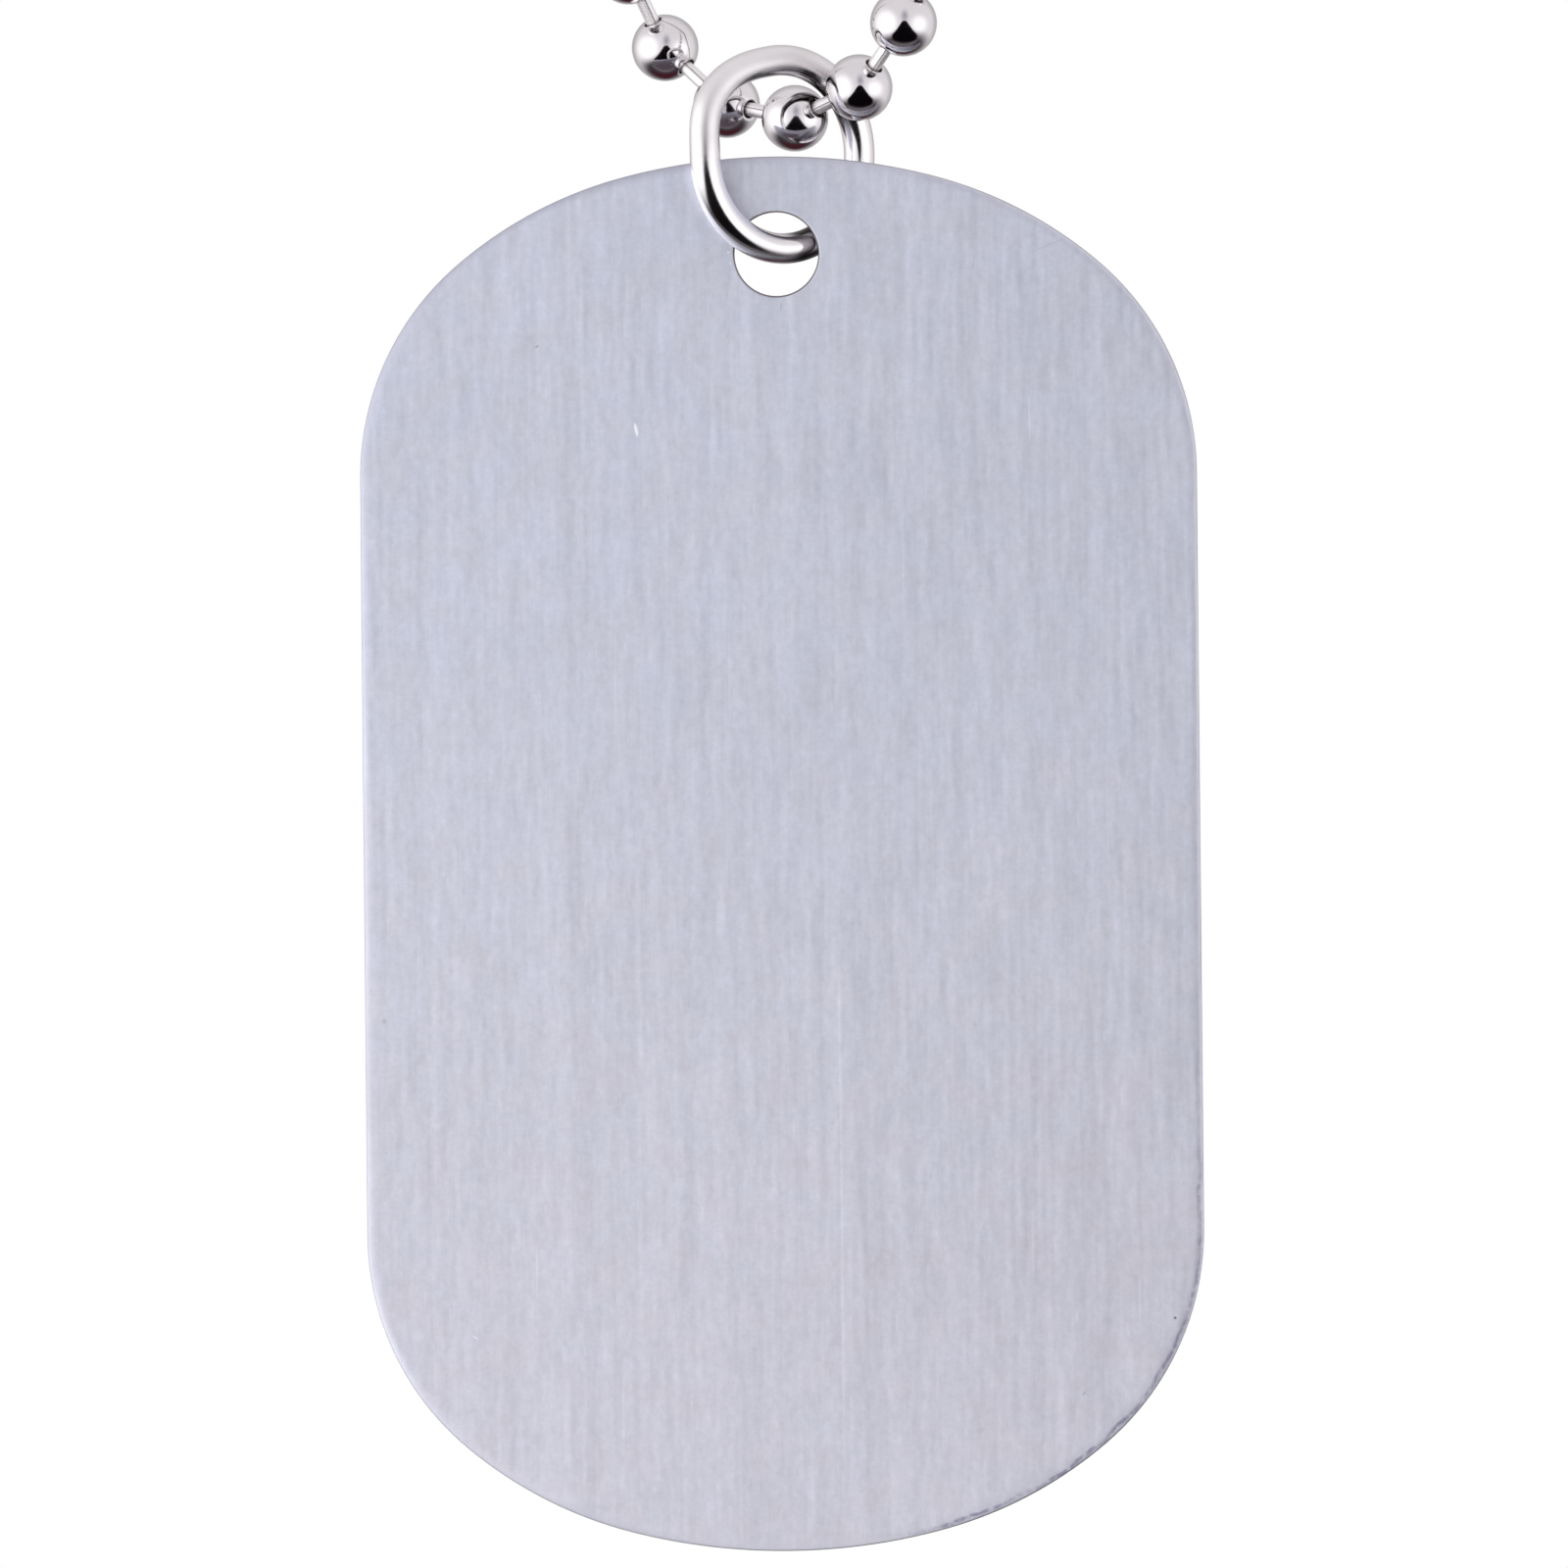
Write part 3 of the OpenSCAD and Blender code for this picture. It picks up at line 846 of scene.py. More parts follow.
def wear_and_shade_of_ring(mesh, degrees, out):
    """The dull part, and the black painted shade in the hole and inside the top."""
    dull = eased(np.cos(np.radians(degrees - DULL_MIDDLE)), *DULL_FADE)
    paint(mesh, "rubbed", dull * eased(out, *DULL_OUT))
    # black painted shade: where the wire lies in the tag's hole, inside the ring's top, and along a line
    # on its inner side
    sides = np.maximum(eased(out, *HOLE_OUTER), eased(-out, *HOLE_INNER))
    painted_shade = along_stretch(degrees, IN_HOLE) * np.maximum(sides, eased(degrees, *HOLE_ALL_ROUND))
    at_top = along_stretch(degrees, INSIDE_TOP) * shade_band(degrees, out, *TOP_BAND, TOP_FADE)
    unshaded = (1 - along_stretch(degrees, BY_LINK)) * eased(-out, *UNSHADED_INSIDE)
    painted_shade += TOP_SHADE * at_top * (1 - unshaded)
    inner_line = along_stretch(degrees, INNER_LINE) * shade_band(degrees, out, *LINE_BAND, LINE_FADE)
    painted_shade += LINE_SHADE * inner_line * (1 - painted_shade)
    paint(mesh, "painted_shade", painted_shade)


def bulge(mesh, places, radial, degrees):
    """The upper left pushed out of the true circle, and how far each point went."""
    amount = OUT_OF_ROUND * along_stretch(degrees, BULGE)
    mesh.vertices.foreach_set("co", (places + amount[:, None] * radial).ravel())
    mesh.update()
    return amount


places, radial, degrees, out = ring_places(ring.data)
wear_and_shade_of_ring(ring.data, degrees, out)
away = bulge(ring.data, places, radial, degrees)
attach(ring, "ring")
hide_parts("jump_ring")
print("the ring is", round(np.ptp(away) / MM, 2), "mm out of round")

# %% [markdown]
# ## The chain's way round
# The balls of the chain stand one pitch apart, or so nearly that it can't be seen. The six near the
# ring lie where the photograph shows them. From the first and the last of these the chain runs
# straight up to a round loop, follows it over the nape, and meets itself in the clasp. These are the
# same few formulas that place the balls in the construction model, and the frame's boxes test them.

# %% Where each ball stands
BALL_R = 1.2 * MM
PITCH = 3.3 * MM
LOOP_R = 77.5 * MM
CLASP_BALL = 2.4 * MM
FRONT_MORE = 5
FIRST_DEPTH = 4.06 * MM
# across and up from the ring's centre in mm, and 1 where a ball lies behind the one before it
ROUND_THE_RING = [(-5.45, 6.68, 0), (-4.17, 3.93, 1), (-1.98, 1.85, -1),
                  (0.47, 1.31, -1), (2.78, 2.36, -1), (4.39, 4.64, -1)]

clasp_low, clasp_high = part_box("clasp")
loop_z = (clasp_high.z - clasp_low.z) / 2 - LOOP_R
end_angle = math.pi - math.asin(CLASP_BALL / LOOP_R)


def balls_round_the_ring():
    places, depth = [], FIRST_DEPTH
    for across, up, way in ROUND_THE_RING:
        place = Vector((ring_centre.x + across * MM, 0, ring_centre.z + up * MM))
        if places:
            flat = Vector((place.x - places[-1].x, 0, place.z - places[-1].z)).length
            depth += way * math.sqrt(PITCH ** 2 - flat ** 2)
        place.y = depth
        places.append(place)
    return places


def on_loop(angle):
    return Vector((LOOP_R * math.sin(angle), 0, loop_z - LOOP_R * math.cos(angle)))


def side_of_loop(end, side):
    """The balls from one end of the stretch round the ring up to the clasp."""
    away = math.hypot(end.x, end.z - loop_z)
    touch = math.atan2(end.x, loop_z - end.z) + side * math.acos(LOOP_R / away)
    straight = (on_loop(touch) - end).length
    length = straight + LOOP_R * (end_angle - abs(touch))
    count = round(length / PITCH)
    places = []
    for i in range(1, count + 1):
        gone = i * length / count
        if gone <= straight:
            places.append(end.lerp(on_loop(touch), gone / straight))
        else:
            places.append(on_loop(touch + side * (gone - straight) / LOOP_R))
    return places


shown = balls_round_the_ring()
left = side_of_loop(shown[0], -1)
string = left[::-1] + shown + side_of_loop(shown[-1], 1)
front_first = len(left) - FRONT_MORE
front_last = len(left) + len(shown) - 1 + FRONT_MORE
front = range(front_first, front_last + 1)
front_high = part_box("front_beads")[1]
reach = max(string[i].x for i in front) + BALL_R
off_by = round((reach - front_high.x) / MM, 3)
print(len(string), "balls; the front ones end", off_by, "mm from the frame's box")

# %% [markdown]
# ## One ball, one bar
# A ball is rolled up from a punched strip, so it is hollow, with a fine seam from hole to hole and
# a rolled lip at each hole. A bar is a pin with a head inside each ball. Both are turned shapes: a
# profile goes round an axis, and at one angle a narrow column is pressed in to draw the seam.


# %% Turned shapes
def turned(name, profile, columns, closed):
    """
    A profile of (radius, height, recess) turned about Z, with columns of (angle, pressed in).
    Closed joins the profile's end to its start, and otherwise both ends get a cap.
    """
    vertices, recesses = [], []
    for radius, height, recess in profile:
        for angle, pressed in columns:
            r = radius - (0 if recess else pressed)
            vertices.append((r * math.cos(angle), r * math.sin(angle), height))
            recesses.append(1.0 if pressed else recess)
    rows, count = len(profile), len(columns)
    faces = [(r * count + c, r * count + (c + 1) % count,
              (r + 1) % rows * count + (c + 1) % count, (r + 1) % rows * count + c)
             for r in range(rows if closed else rows - 1) for c in range(count)]
    if not closed:
        faces += [tuple(range(count)), tuple(range((rows - 1) * count, rows * count))]
    mesh = bpy.data.meshes.new(name)
    mesh.from_pydata(vertices, [], faces)
    paint(mesh, "recess", recesses)
    return outward_and_smooth(mesh)


def plain_round(count):
    """Columns at equal steps all round."""
    return [(2 * math.pi * k / count, 0) for k in range(count)]


def with_seam(count, half_width, pressed):
    """The same, with a seam of that half width at angle 0, pressed in by that much."""
    seam = [(-2 * half_width, 0), (-half_width, 0), (0, pressed), (half_width, 0), (2 * half_width, 0)]
    return seam + plain_round(count)[1:]


def lower_half(upper):
    """The mirror image of a section's upper half, from the middle down."""
    return [(radius, -height, recess) for radius, height, recess in reversed(upper)]


print("turned shapes ready")

# %% [markdown]
# The balls near the ring get the lip, the wall and the seam. The rest of the loop has more than a
# hundred and sixty balls, so theirs is the same round in about a hundred faces, without a seam and
# with a dimple for each hole.

# %% The balls
BALL_WALL = 0.25 * MM
BALL_HOLE_R = 0.31 * MM
LIP = 0.07 * MM
LIP_R = BALL_HOLE_R + LIP
BALL_SEAM, BALL_SEAM_DEEP = 0.035, 0.05 * MM
DIMPLE_FLOOR = 0.8 * MM
BALL_ROWS, BALL_INNER_ROWS, BALL_COLUMNS = 40, 6, 40
PLAIN_ROWS, PLAIN_COLUMNS = 6, 12


def ball_outside(rows):
    """The outside of a ball, from one hole's lip to the other's."""
    first = math.asin(LIP_R / BALL_R)
    return [(BALL_R * math.sin(p), BALL_R * math.cos(p), 0)
            for p in np.linspace(first, math.pi - first, rows + 1)]


def ball_profile(rows, inner_rows):
    """The section of a hollow ball: out over one lip, down the outside and back up the inside."""
    top = math.sqrt(BALL_R ** 2 - LIP_R ** 2)
    lip = [(LIP_R - LIP * math.cos(t), top - LIP + LIP * math.sin(t), 1 - t / 2)
           for t in (0.0, 0.5, 1.0)]
    inner_r = BALL_R - BALL_WALL
    low = math.asin(BALL_HOLE_R / inner_r)
    inner = [(inner_r * math.sin(p), inner_r * math.cos(p), 1)
             for p in np.linspace(math.pi - low, low, inner_rows + 1)]
    return lip + ball_outside(rows) + lower_half(lip) + inner


def plain_ball_profile(rows):
    """The same outside in few faces, with a blind dimple for each hole."""
    floor = [(BALL_HOLE_R, DIMPLE_FLOOR, 1)]
    return floor + ball_outside(rows) + lower_half(floor)


ball = turned("ball", ball_profile(BALL_ROWS, BALL_INNER_ROWS),
              with_seam(BALL_COLUMNS, BALL_SEAM, BALL_SEAM_DEEP), True)
ball_pattern = show("ball_pattern", ball)
plain_ball = show("plain_ball", turned("plain_ball", plain_ball_profile(PLAIN_ROWS),
                                       plain_round(PLAIN_COLUMNS), False))
print("faces of a ball:", len(ball_pattern.data.polygons), "and", len(plain_ball.data.polygons))

# %% [markdown]
# The bars near the ring have a head in each of their two balls, and a seam like theirs. On the rest
# of the loop no head could be seen, so the bars are plain pins.

# %% The bars
BAR_R, HEAD_R = 0.25 * MM, 0.5 * MM
HEAD_IN = 0.45 * MM
PLAIN_BAR_HALF = 0.95 * MM
BAR_SEAM, BAR_SEAM_DEEP = 0.12, 0.03 * MM
BAR_COLUMNS, PIN_COLUMNS = 20, 8
bar_half = PITCH / 2 - HEAD_IN
# radius, distance from the bar's end, and whether it lies in the ball's recess
HEAD = [(0.36 * MM, 0, 1), (0.47 * MM, 0.04 * MM, 1), (HEAD_R, 0.1 * MM, 1), (0.46 * MM, 0.17 * MM, 1),
        (BAR_R, 0.2 * MM, 1), (BAR_R, 0.21 * MM, 0)]

headed = [(radius, bar_half - down, recess) for radius, down, recess in HEAD]
pin = [(BAR_R, PLAIN_BAR_HALF, 0)]
bar = turned("bar", headed + lower_half(headed), with_seam(BAR_COLUMNS, BAR_SEAM, BAR_SEAM_DEEP), False)
bar_pattern = show("bar_pattern", bar)
plain_bar = show("plain_bar", turned("plain_bar", pin + lower_half(pin), plain_round(PIN_COLUMNS), False))
print("faces of a bar:", len(bar_pattern.data.polygons), "and", len(plain_bar.data.polygons))

# %% [markdown]
# ## Threading the chain
# Geometry Nodes put a pattern on every point of a string. Each point carries its own directions:
# way, where the chain runs, and seam, where the seam looks. Where the chain bends, a ball's two
# holes don't lie opposite each other, so after the balls are placed each one's two halves are
# turned a little towards their neighbours. A ball is round, so the turning moves its holes over its
# surface and leaves its shape alone.


# %% The threading tree
# the share of a ball's half height over which its bend is spread
BEND_WITHIN = 0.85


def make_thread_tree():
    tree, inside, outside = new_group(
        "thread", "GeometryNodeTree",
        [("Geometry", "NodeSocketGeometry"), ("Pattern", "NodeSocketObject"),
         ("Half height", "NodeSocketFloat", 0.001), ("Metal", "NodeSocketMaterial")],
        [("Geometry", "NodeSocketGeometry")])
    given = inside.outputs
    place = add(tree, "GeometryNodeInputPosition").outputs[0]

    def carried(name, kind="FLOAT_VECTOR"):
        """A value that each point of the string carries."""
        return add(tree, "GeometryNodeInputNamedAttribute", {"Name": name}, data_type=kind).outputs[0]

    kept = add(tree, "GeometryNodeStoreNamedAttribute",
               {"Geometry": given["Geometry"], "Name": "middle", "Value": place},
               data_type="FLOAT_VECTOR", domain="POINT")
    pattern = add(tree, "GeometryNodeObjectInfo", {"Object": given["Pattern"]})
    aimed = add(tree, "FunctionNodeAxesToRotation", {0: carried("way"), 1: carried("seam")},
                primary_axis="Z", secondary_axis="X")
    placed = add(tree, "GeometryNodeInstanceOnPoints",
                 {"Points": kept.outputs[0], "Instance": pattern.outputs["Geometry"],
                  "Rotation": aimed.outputs[0]})
    whole = add(tree, "GeometryNodeRealizeInstances", {0: placed.outputs[0]})
    middle = carried("middle")
    offset = calc_vector(tree, "SUBTRACT", place, middle)
    height = calc_vector(tree, "DOT_PRODUCT", offset, carried("way"))
    up = calc(tree, "DIVIDE", height, given["Half height"])
    angle = calc(tree, "MULTIPLY", remap(tree, up, -BEND_WITHIN, BEND_WITHIN, -0.5, 0.5),
                 carried("bend", "FLOAT"))
    bent = add(tree, "ShaderNodeVectorRotate", {"Vector": offset, "Axis": carried("bend_axis"),
                                                "Angle": angle}, rotation_type="AXIS_ANGLE")
    back = calc_vector(tree, "ADD", bent.outputs[0], middle)
    moved = add(tree, "GeometryNodeSetPosition", {"Geometry": whole.outputs[0], "Position": back})
    coated = add(tree, "GeometryNodeSetMaterial", {"Geometry": moved.outputs[0],
                                                   "Material": given["Metal"]})
    tree.links.new(coated.outputs[0], outside.inputs["Geometry"])
    return tree


THREAD = make_thread_tree()
CARRIED = ("way", "seam", "bend_axis", "bend", "middle")
print("thread tree has", len(THREAD.nodes), "nodes")

# %% [markdown]
# The points of a string are a mesh with no faces, and its attributes hold the directions. The seams
# of the six balls near the ring are turned one by one, as the photograph shows them or away from the
# camera. The seams of the bars near the ring look towards the camera. All the other balls and bars
# turn as they please, by a seeded random number.

# %% Strings of points
# the chain counts as straight where it bends by fewer radians than this
STRAIGHT = 1e-3
random = np.random.default_rng(7)
# the seam's direction of each ball near the ring, from left to right
SHOWN_SEAMS = [(-0.6, 0.7, 0.2), (0.80, -0.58, -0.12), (0.2, 0.9, 0.3),
               (-0.3, 0.8, -0.4), (0.4, 0.9, 0.1), (0.75, 0.55, 0.2)]


def any_direction():
    return Vector(random.normal(size=3)).normalized()


def seam_of(i):
    """Where the seam of ball i looks."""
    j = i - len(left)
    return Vector(SHOWN_SEAMS[j]) if 0 <= j < len(SHOWN_SEAMS) else any_direction()


def ball_point(i):
    """Place, way, seam, bend axis and bend of ball i of the whole string."""
    came = string[i] - string[i - 1] if i else string[1] - string[0]
    goes = string[i + 1] - string[i] if i < len(string) - 1 else came
    came, goes = came.normalized(), goes.normalized()
    bend = came.angle(goes)
    axis = came.cross(goes).normalized() if bend > STRAIGHT else Vector((0, 1, 0))
    return string[i], (came + goes).normalized(), seam_of(i), axis, bend


def bar_point(i, seam):
    """The same for the bar between ball i and the next."""
    way = (string[i + 1] - string[i]).normalized()
    return (string[i] + string[i + 1]) / 2, way, seam, Vector((0, 1, 0)), 0.0


def threaded(name, points, pattern, metal):
    """A pattern set on every point, as one plain mesh."""
    mesh = bpy.data.meshes.new(name)
    mesh.from_pydata([p[0] for p in points], [], [])
    for column, key in enumerate(("way", "seam", "bend_axis"), start=1):
        values = np.array([p[column] for p in points]).ravel()
        mesh.attributes.new(key, "FLOAT_VECTOR", "POINT").data.foreach_set("vector", values)
    paint(mesh, "bend", [p[4] for p in points])
    piece = show(name, mesh)
    grow(piece, THREAD, {"Pattern": pattern, "Half height": BALL_R, "Metal": metal})
    settle(piece, drop=CARRIED)
    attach(piece, "chain")
    print(name, len(piece.data.polygons), "faces on", len(points), "points")
    return piece


TOWARDS_CAMERA = Vector((0.25, -1, 0.1))
everything = range(len(string))
behind = [i for i in everything if i not in front]
links_behind = [i for i in everything[:-1] if i not in front[:-1]]

front_balls = threaded("front_balls", [ball_point(i) for i in front], ball_pattern, BALL_METAL)
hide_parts("front_beads")
back_balls = threaded("back_balls", [ball_point(i) for i in behind], plain_ball, BALL_METAL)
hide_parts("back_beads")
front_bars = threaded("front_bars", [bar_point(i, TOWARDS_CAMERA) for i in front[:-1]],
                      bar_pattern, BAR_METAL)
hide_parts("front_links")
back_bars = threaded("back_bars", [bar_point(i, any_direction()) for i in links_behind],
                     plain_bar, BAR_METAL)
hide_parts("back_wire")
for pattern in (ball_pattern, plain_ball, bar_pattern, plain_bar):
    bpy.data.objects.remove(pattern)

# %% [markdown]
# ## The clasp
# The photograph doesn't show the clasp, so it is the plainest one that closes such a chain: a
# sleeve rolled from sheet, with a slit along it, ends turned in, and a ball held behind each end.
# It is turned like a ball, from a section that goes down the outside and back up the inside, and
# then laid along X at the nape.

# %% The clasp's sleeve
CLASP_WALL, CLASP_HOLE_R, CLASP_ROUND = 0.3 * MM, 0.55 * MM, 0.45 * MM
CLASP_LIP, CLASP_CORNER = 0.06 * MM, 0.2 * MM
CLASP_SLIT, CLASP_SLIT_DEEP = 0.045, 0.2 * MM
CLASP_COLUMNS, ROUND_POINTS = 40, 6
# rows along the sleeve, as shares of its half length
CLASP_ROWS = (0.6, 0.3, 0.0)


def sleeve_profile(radius, half):
    """The section of a hollow sleeve, from one end's hole to the other's and back inside."""
    turns = np.linspace(0, math.pi / 2, ROUND_POINTS)
    shoulder = [(radius - CLASP_ROUND + CLASP_ROUND * math.sin(t),
                 half - CLASP_ROUND + CLASP_ROUND * math.cos(t), 0) for t in turns]
    stretch = [(radius, half * share, 0) for share in CLASP_ROWS]
    end = [(CLASP_HOLE_R, half - CLASP_WALL + CLASP_LIP, 1), (CLASP_HOLE_R + CLASP_LIP, half, 0.5)]
    upper = end + shoulder + stretch
    inner = radius - CLASP_WALL
    inside = [(inner, half - CLASP_WALL - CLASP_CORNER, 1), (inner - CLASP_CORNER, half - CLASP_WALL, 1),
              (CLASP_HOLE_R, half - CLASP_WALL, 1)]
    return upper + lower_half(upper[:-1]) + lower_half(inside) + inside


sleeve_r = (clasp_high.z - clasp_low.z) / 2
sleeve_half = (clasp_high.x - clasp_low.x) / 2
sleeve_mesh = turned("clasp_sleeve", sleeve_profile(sleeve_r, sleeve_half),
                     with_seam(CLASP_COLUMNS, CLASP_SLIT, CLASP_SLIT_DEEP), True)
laid_down = Matrix.Rotation(math.pi / 2, 4, "Y")
sleeve_mesh.transform(Matrix.Translation((clasp_low + clasp_high) / 2) @ laid_down)
sleeve = show("clasp_sleeve", sleeve_mesh, CLASP_METAL)
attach(sleeve, "chain")
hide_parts("clasp")
print("clasp:", len(sleeve.data.polygons), "faces")

# %% [markdown]
# ## The studio, as a ball shows it
# A polished ball is a map of the room: its middle shows the camera, its edge what lies behind it.
# So each card of the studio is placed by where it shows in a ball. The outline of a card is given
# on the ball's face, from -1 to 1 across and up, the mirror's law turns each point into a
# direction, and the card is the patch of a big sphere in those directions. Its brightness fades
# towards its edge. The cards light the metal, and no camera sees them.

# %% Cards round the necklace
STUDIO_R = 750 * MM
CARD_STEPS = 24
pendant = Vector((0, 0, ring_centre.z))


def mirrored(a, b):
    """The direction that a ball shows at (a, b) of its face."""
    c = math.sqrt(max(0, 1 - a * a - b * b))
    return Vector((2 * c * a, 1 - 2 * c * c, 2 * c * b))


def oval(centre, wide, high):
    """A square bent into an ellipse, with an edge value that grows from 0 to 1."""
    def place(u, v):
        x, y = u * math.sqrt(1 - v * v / 2), v * math.sqrt(1 - u * u / 2)
        return centre[0] + wide * x, centre[1] + high * y, math.hypot(x, y)
    return place


def moon(half_wide, top, bottom, sag):
    """A moon on its back, thin at its tips: its two edges at the middle, and how far the tips rise."""
    def place(u, v):
        thick = (top - bottom) / 2 * (1 - 0.98 * u * u)
        return half_wide * u, (top + bottom) / 2 + sag * u * u + thick * v, max(abs(v), u * u)
    return place


def bell(heights, half_widths, shift, bow):
    """A bell, given by its half width at some heights, on a foot that is bowed down."""
    def place(u, v):
        up = (v + 1) / 2
        height = heights[0] + (heights[-1] - heights[0]) * up
        across = u * np.interp(height, heights, half_widths)
        return across + shift, height + bow * across * across * (1 - up), max(abs(u), abs(v))
    return place


def card_material(name, colour, soft):
    """Light of that colour, which fades out over the soft part of the card's edge."""
    material, tree = new_material(name)
    tree.nodes.clear()
    light = add(tree, "ShaderNodeEmission", {"Color": (*colour, 1)})
    clear = add(tree, "ShaderNodeBsdfTransparent")
    inside = remap(tree, painted(tree, "edge"), 1.0, 1.0 - soft)
    mix = add(tree, "ShaderNodeMixShader", {0: inside, 1: clear.outputs[0], 2: light.outputs[0]})
    add(tree, "ShaderNodeOutputMaterial", {0: mix.outputs[0]})
    return material


def card(name, place, colour, soft, away=1.0):
    """A patch of the studio's sphere. Place turns u and v from -1 to 1 into across, up and edge."""
    stops = np.linspace(-1, 1, CARD_STEPS + 1)
    grid = [place(u, v) for v in stops for u in stops]
    vertices = [pendant + STUDIO_R * away * mirrored(a, b) for a, b, _ in grid]
    row = CARD_STEPS + 1
    faces = [(r * row + c, r * row + c + 1, (r + 1) * row + c + 1, (r + 1) * row + c)
             for r in range(CARD_STEPS) for c in range(CARD_STEPS)]
    mesh = bpy.data.meshes.new(name)
    mesh.from_pydata(vertices, [], faces)
    paint(mesh, "edge", [edge for _, _, edge in grid])
    patch = show(name, mesh, card_material(name, colour, soft))
    patch.visible_camera = patch.visible_shadow = patch.visible_diffuse = False
    return patch


# places and sizes are those on the ball's face, whose outline is 1 from its middle
BELL_HEIGHTS = (-0.61, -0.53, -0.46, -0.38, -0.28, -0.17, -0.08, 0.0, 0.05, 0.09)
BELL_WIDTHS = (0.33, 0.40, 0.42, 0.385, 0.31, 0.23, 0.165, 0.11, 0.07, 0.02)
cards = [
    card("left_softbox", oval((-0.52, 0.0), 0.44, 0.52), (1.55, 1.54, 1.57), 0.85),
    card("right_softbox", oval((0.47, -0.04), 0.34, 0.36), (1.35, 1.34, 1.37), 0.9),
    card("gap_between", oval((0.04, 0.21), 0.17, 0.28), (0.40, 0.38, 0.44), 1.0, away=0.98),
    card("dark_below", bell(BELL_HEIGHTS, BELL_WIDTHS, 0.03, 0.7), (0.003, 0.002, 0.003), 0.14,
         away=0.96),
    card("bench_edge", moon(0.52, -0.60, -0.76, 0.26), (0.13, 0.12, 0.13), 0.5),
    card("red_below", moon(0.50, -0.76, -0.95, 0.24), (0.060, 0.014, 0.021), 0.5, away=0.96)]
print("cards:", [c.name for c in cards])

# %% [markdown]
# ## The room and the floor
# The background of the photograph is pure white. A white world would also fill every reflection
# with white, and polished metal would vanish into it. So the camera sees a white world, and
# everything else sees a softly shaded room: light grey, a little darker overhead, grey behind and
# dark below. The floor lies far below the necklace, and its grey fades into white as well.

# %% The room and the floor
WHITE = (1, 1, 1, 1)
ROOM_LEVEL = (0.82, 0.81, 0.83, 1)
ROOM_ABOVE = (0.79, 0.77, 0.79, 1)
ROOM_BELOW = (0.05, 0.042, 0.047, 1)
ROOM_BEHIND = (0.50, 0.48, 0.49, 1)
# how high or how far back a direction points where each tone begins, and where it is full
ABOVE, BELOW, BEHIND = (0.1, 0.95), (-0.3, -0.8), (0.3, 0.95)
FLOOR_Z = -0.64
FLOOR_R = 2.0
FLOOR_GREY = (0.86, 0.86, 0.86, 1)
FLOOR_ROUGH = 0.6
# the floor's own grey gives way to plain white between these distances from the middle
FLOOR_FADE = (0.3, 1.2)


def white_world():
    world = bpy.data.worlds.new("studio")
    bpy.context.scene.world = world
    world.use_nodes = True
    tree = world.node_tree
    tree.nodes.clear()
    way = add(tree, "ShaderNodeTexCoord").outputs["Generated"]
    parts = add(tree, "ShaderNodeSeparateXYZ", {0: way}).outputs
    upper = blend_colours(tree, remap(tree, parts["Z"], *ABOVE), ROOM_LEVEL, ROOM_ABOVE)
    around = blend_colours(tree, remap(tree, parts["Y"], *BEHIND), upper, ROOM_BEHIND)
    room = blend_colours(tree, remap(tree, parts["Z"], *BELOW), around, ROOM_BELOW)
    seen = add(tree, "ShaderNodeLightPath").outputs["Is Camera Ray"]
    light = add(tree, "ShaderNodeBackground", {"Color": blend_colours(tree, seen, room, WHITE)})
    add(tree, "ShaderNodeOutputWorld", {0: light.outputs[0]})


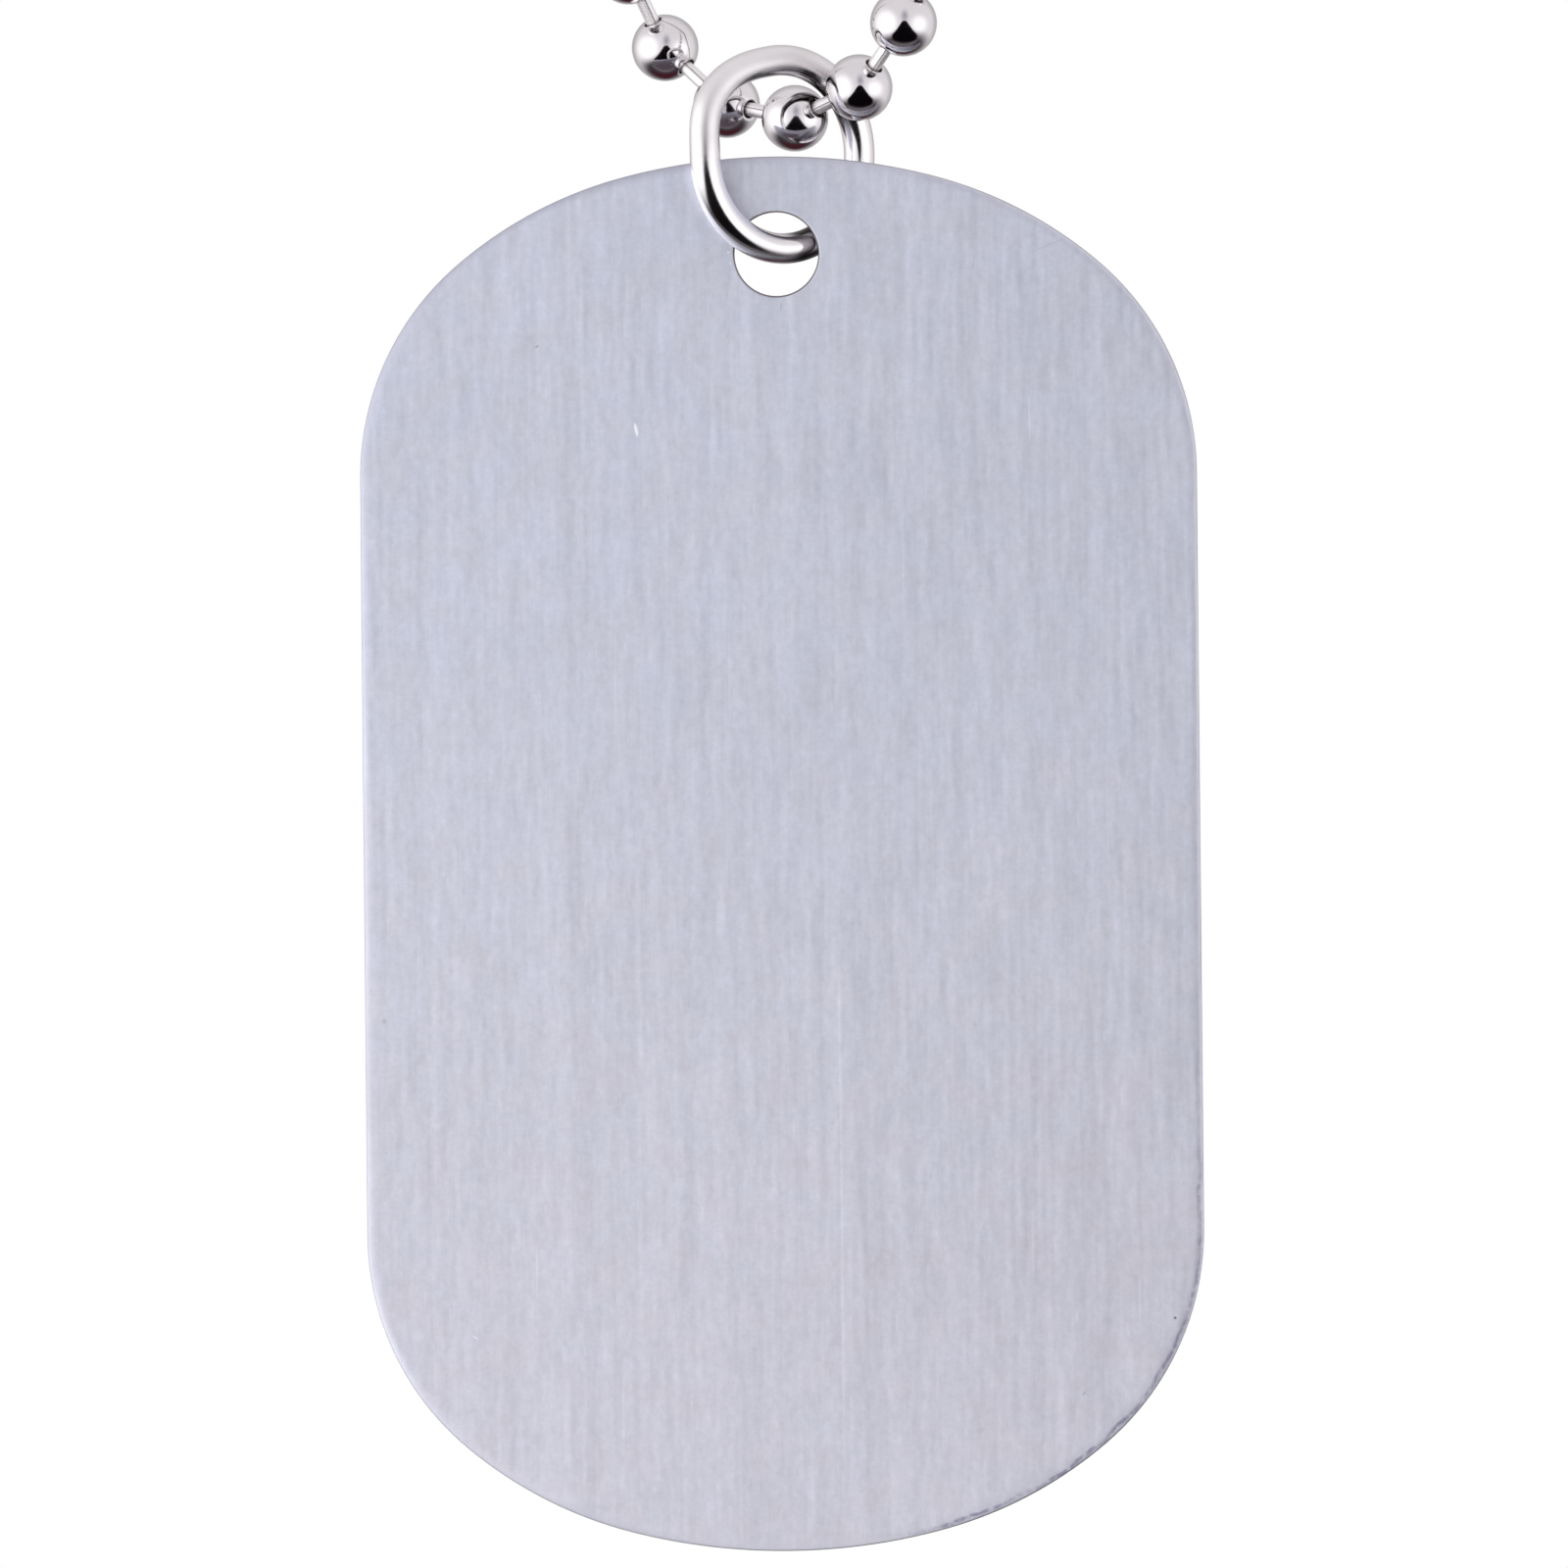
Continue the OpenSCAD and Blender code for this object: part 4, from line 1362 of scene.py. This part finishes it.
def pale_floor():
    mesh = bpy.data.meshes.new("floor")
    work = bmesh.new()
    bmesh.ops.create_circle(work, cap_ends=True, segments=96, radius=FLOOR_R,
                            matrix=Matrix.Translation((0, 0, FLOOR_Z)))
    work.to_mesh(mesh)
    work.free()
    material, tree = new_material("floor")
    shader = tree.nodes["Principled BSDF"]
    shader.inputs["Base Color"].default_value = FLOOR_GREY
    shader.inputs["Roughness"].default_value = FLOOR_ROUGH
    place = add(tree, "ShaderNodeTexCoord").outputs["Object"]
    away = calc_vector(tree, "LENGTH", calc_vector(tree, "MULTIPLY", place, (1, 1, 0)))
    white = add(tree, "ShaderNodeEmission", {"Color": WHITE})
    mix = add(tree, "ShaderNodeMixShader", {0: remap(tree, away, *FLOOR_FADE), 1: shader.outputs[0],
                                            2: white.outputs[0]})
    tree.links.new(mix.outputs[0], tree.nodes["Material Output"].inputs[0])
    floor = show("floor", mesh, material)
    floor.visible_glossy = False


white_world()
pale_floor()
print("floor at", FLOOR_Z, "m")

# %% [markdown]
# ## The lamps
# A large lamp overhead gives the pale floor its soft shadow. The tag and the bars of the front links
# have a lamp of their own, low on the left. Light linking keeps it off everything else, so it raises
# them to the photograph's tone and leaves the reflections in the balls alone.

# %% The lamps and the view
# places in metres, the tag lamp's from the tag's centre, widths in metres and powers in watts
TOP_LAMP_AT, TOP_LAMP_AIM = Vector((-0.5, -0.3, 1.0)), Vector((0, 0, -0.2))
TOP_LAMP_WIDE, TOP_LAMP_POWER = 0.8, 9
TAG_LAMP_AWAY = Vector((-0.16, -0.30, -0.175))
TAG_LAMP_WIDE, TAG_LAMP_POWER = 0.5, 0.89


def area_lamp(name, shape, width, power, place, target):
    """A flat lamp that faces its target and that no camera sees."""
    lamp = bpy.data.lights.new(name, "AREA")
    lamp.shape, lamp.size = shape, width
    lamp.energy = power
    holder = bpy.data.objects.new(name, lamp)
    bpy.context.scene.collection.objects.link(holder)
    holder.location = place
    holder.rotation_euler = (target - place).to_track_quat("-Z", "Y").to_euler()
    holder.visible_camera = False
    return holder


top_lamp = area_lamp("top_lamp", "DISK", TOP_LAMP_WIDE, TOP_LAMP_POWER, TOP_LAMP_AT, TOP_LAMP_AIM)
top_lamp.visible_glossy = False

lit_by_tag_lamp = bpy.data.collections.new("lit_by_tag_lamp")
lit_by_tag_lamp.objects.link(plate)
lit_by_tag_lamp.objects.link(front_bars)
tag_lamp = area_lamp("tag_lamp", "SQUARE", TAG_LAMP_WIDE, TAG_LAMP_POWER,
                     tag_centre + TAG_LAMP_AWAY, tag_centre)
tag_lamp.light_linking.receiver_collection = lit_by_tag_lamp

bpy.context.scene.view_settings.view_transform = "Standard"
print("lamps:", [top_lamp.name, tag_lamp.name])
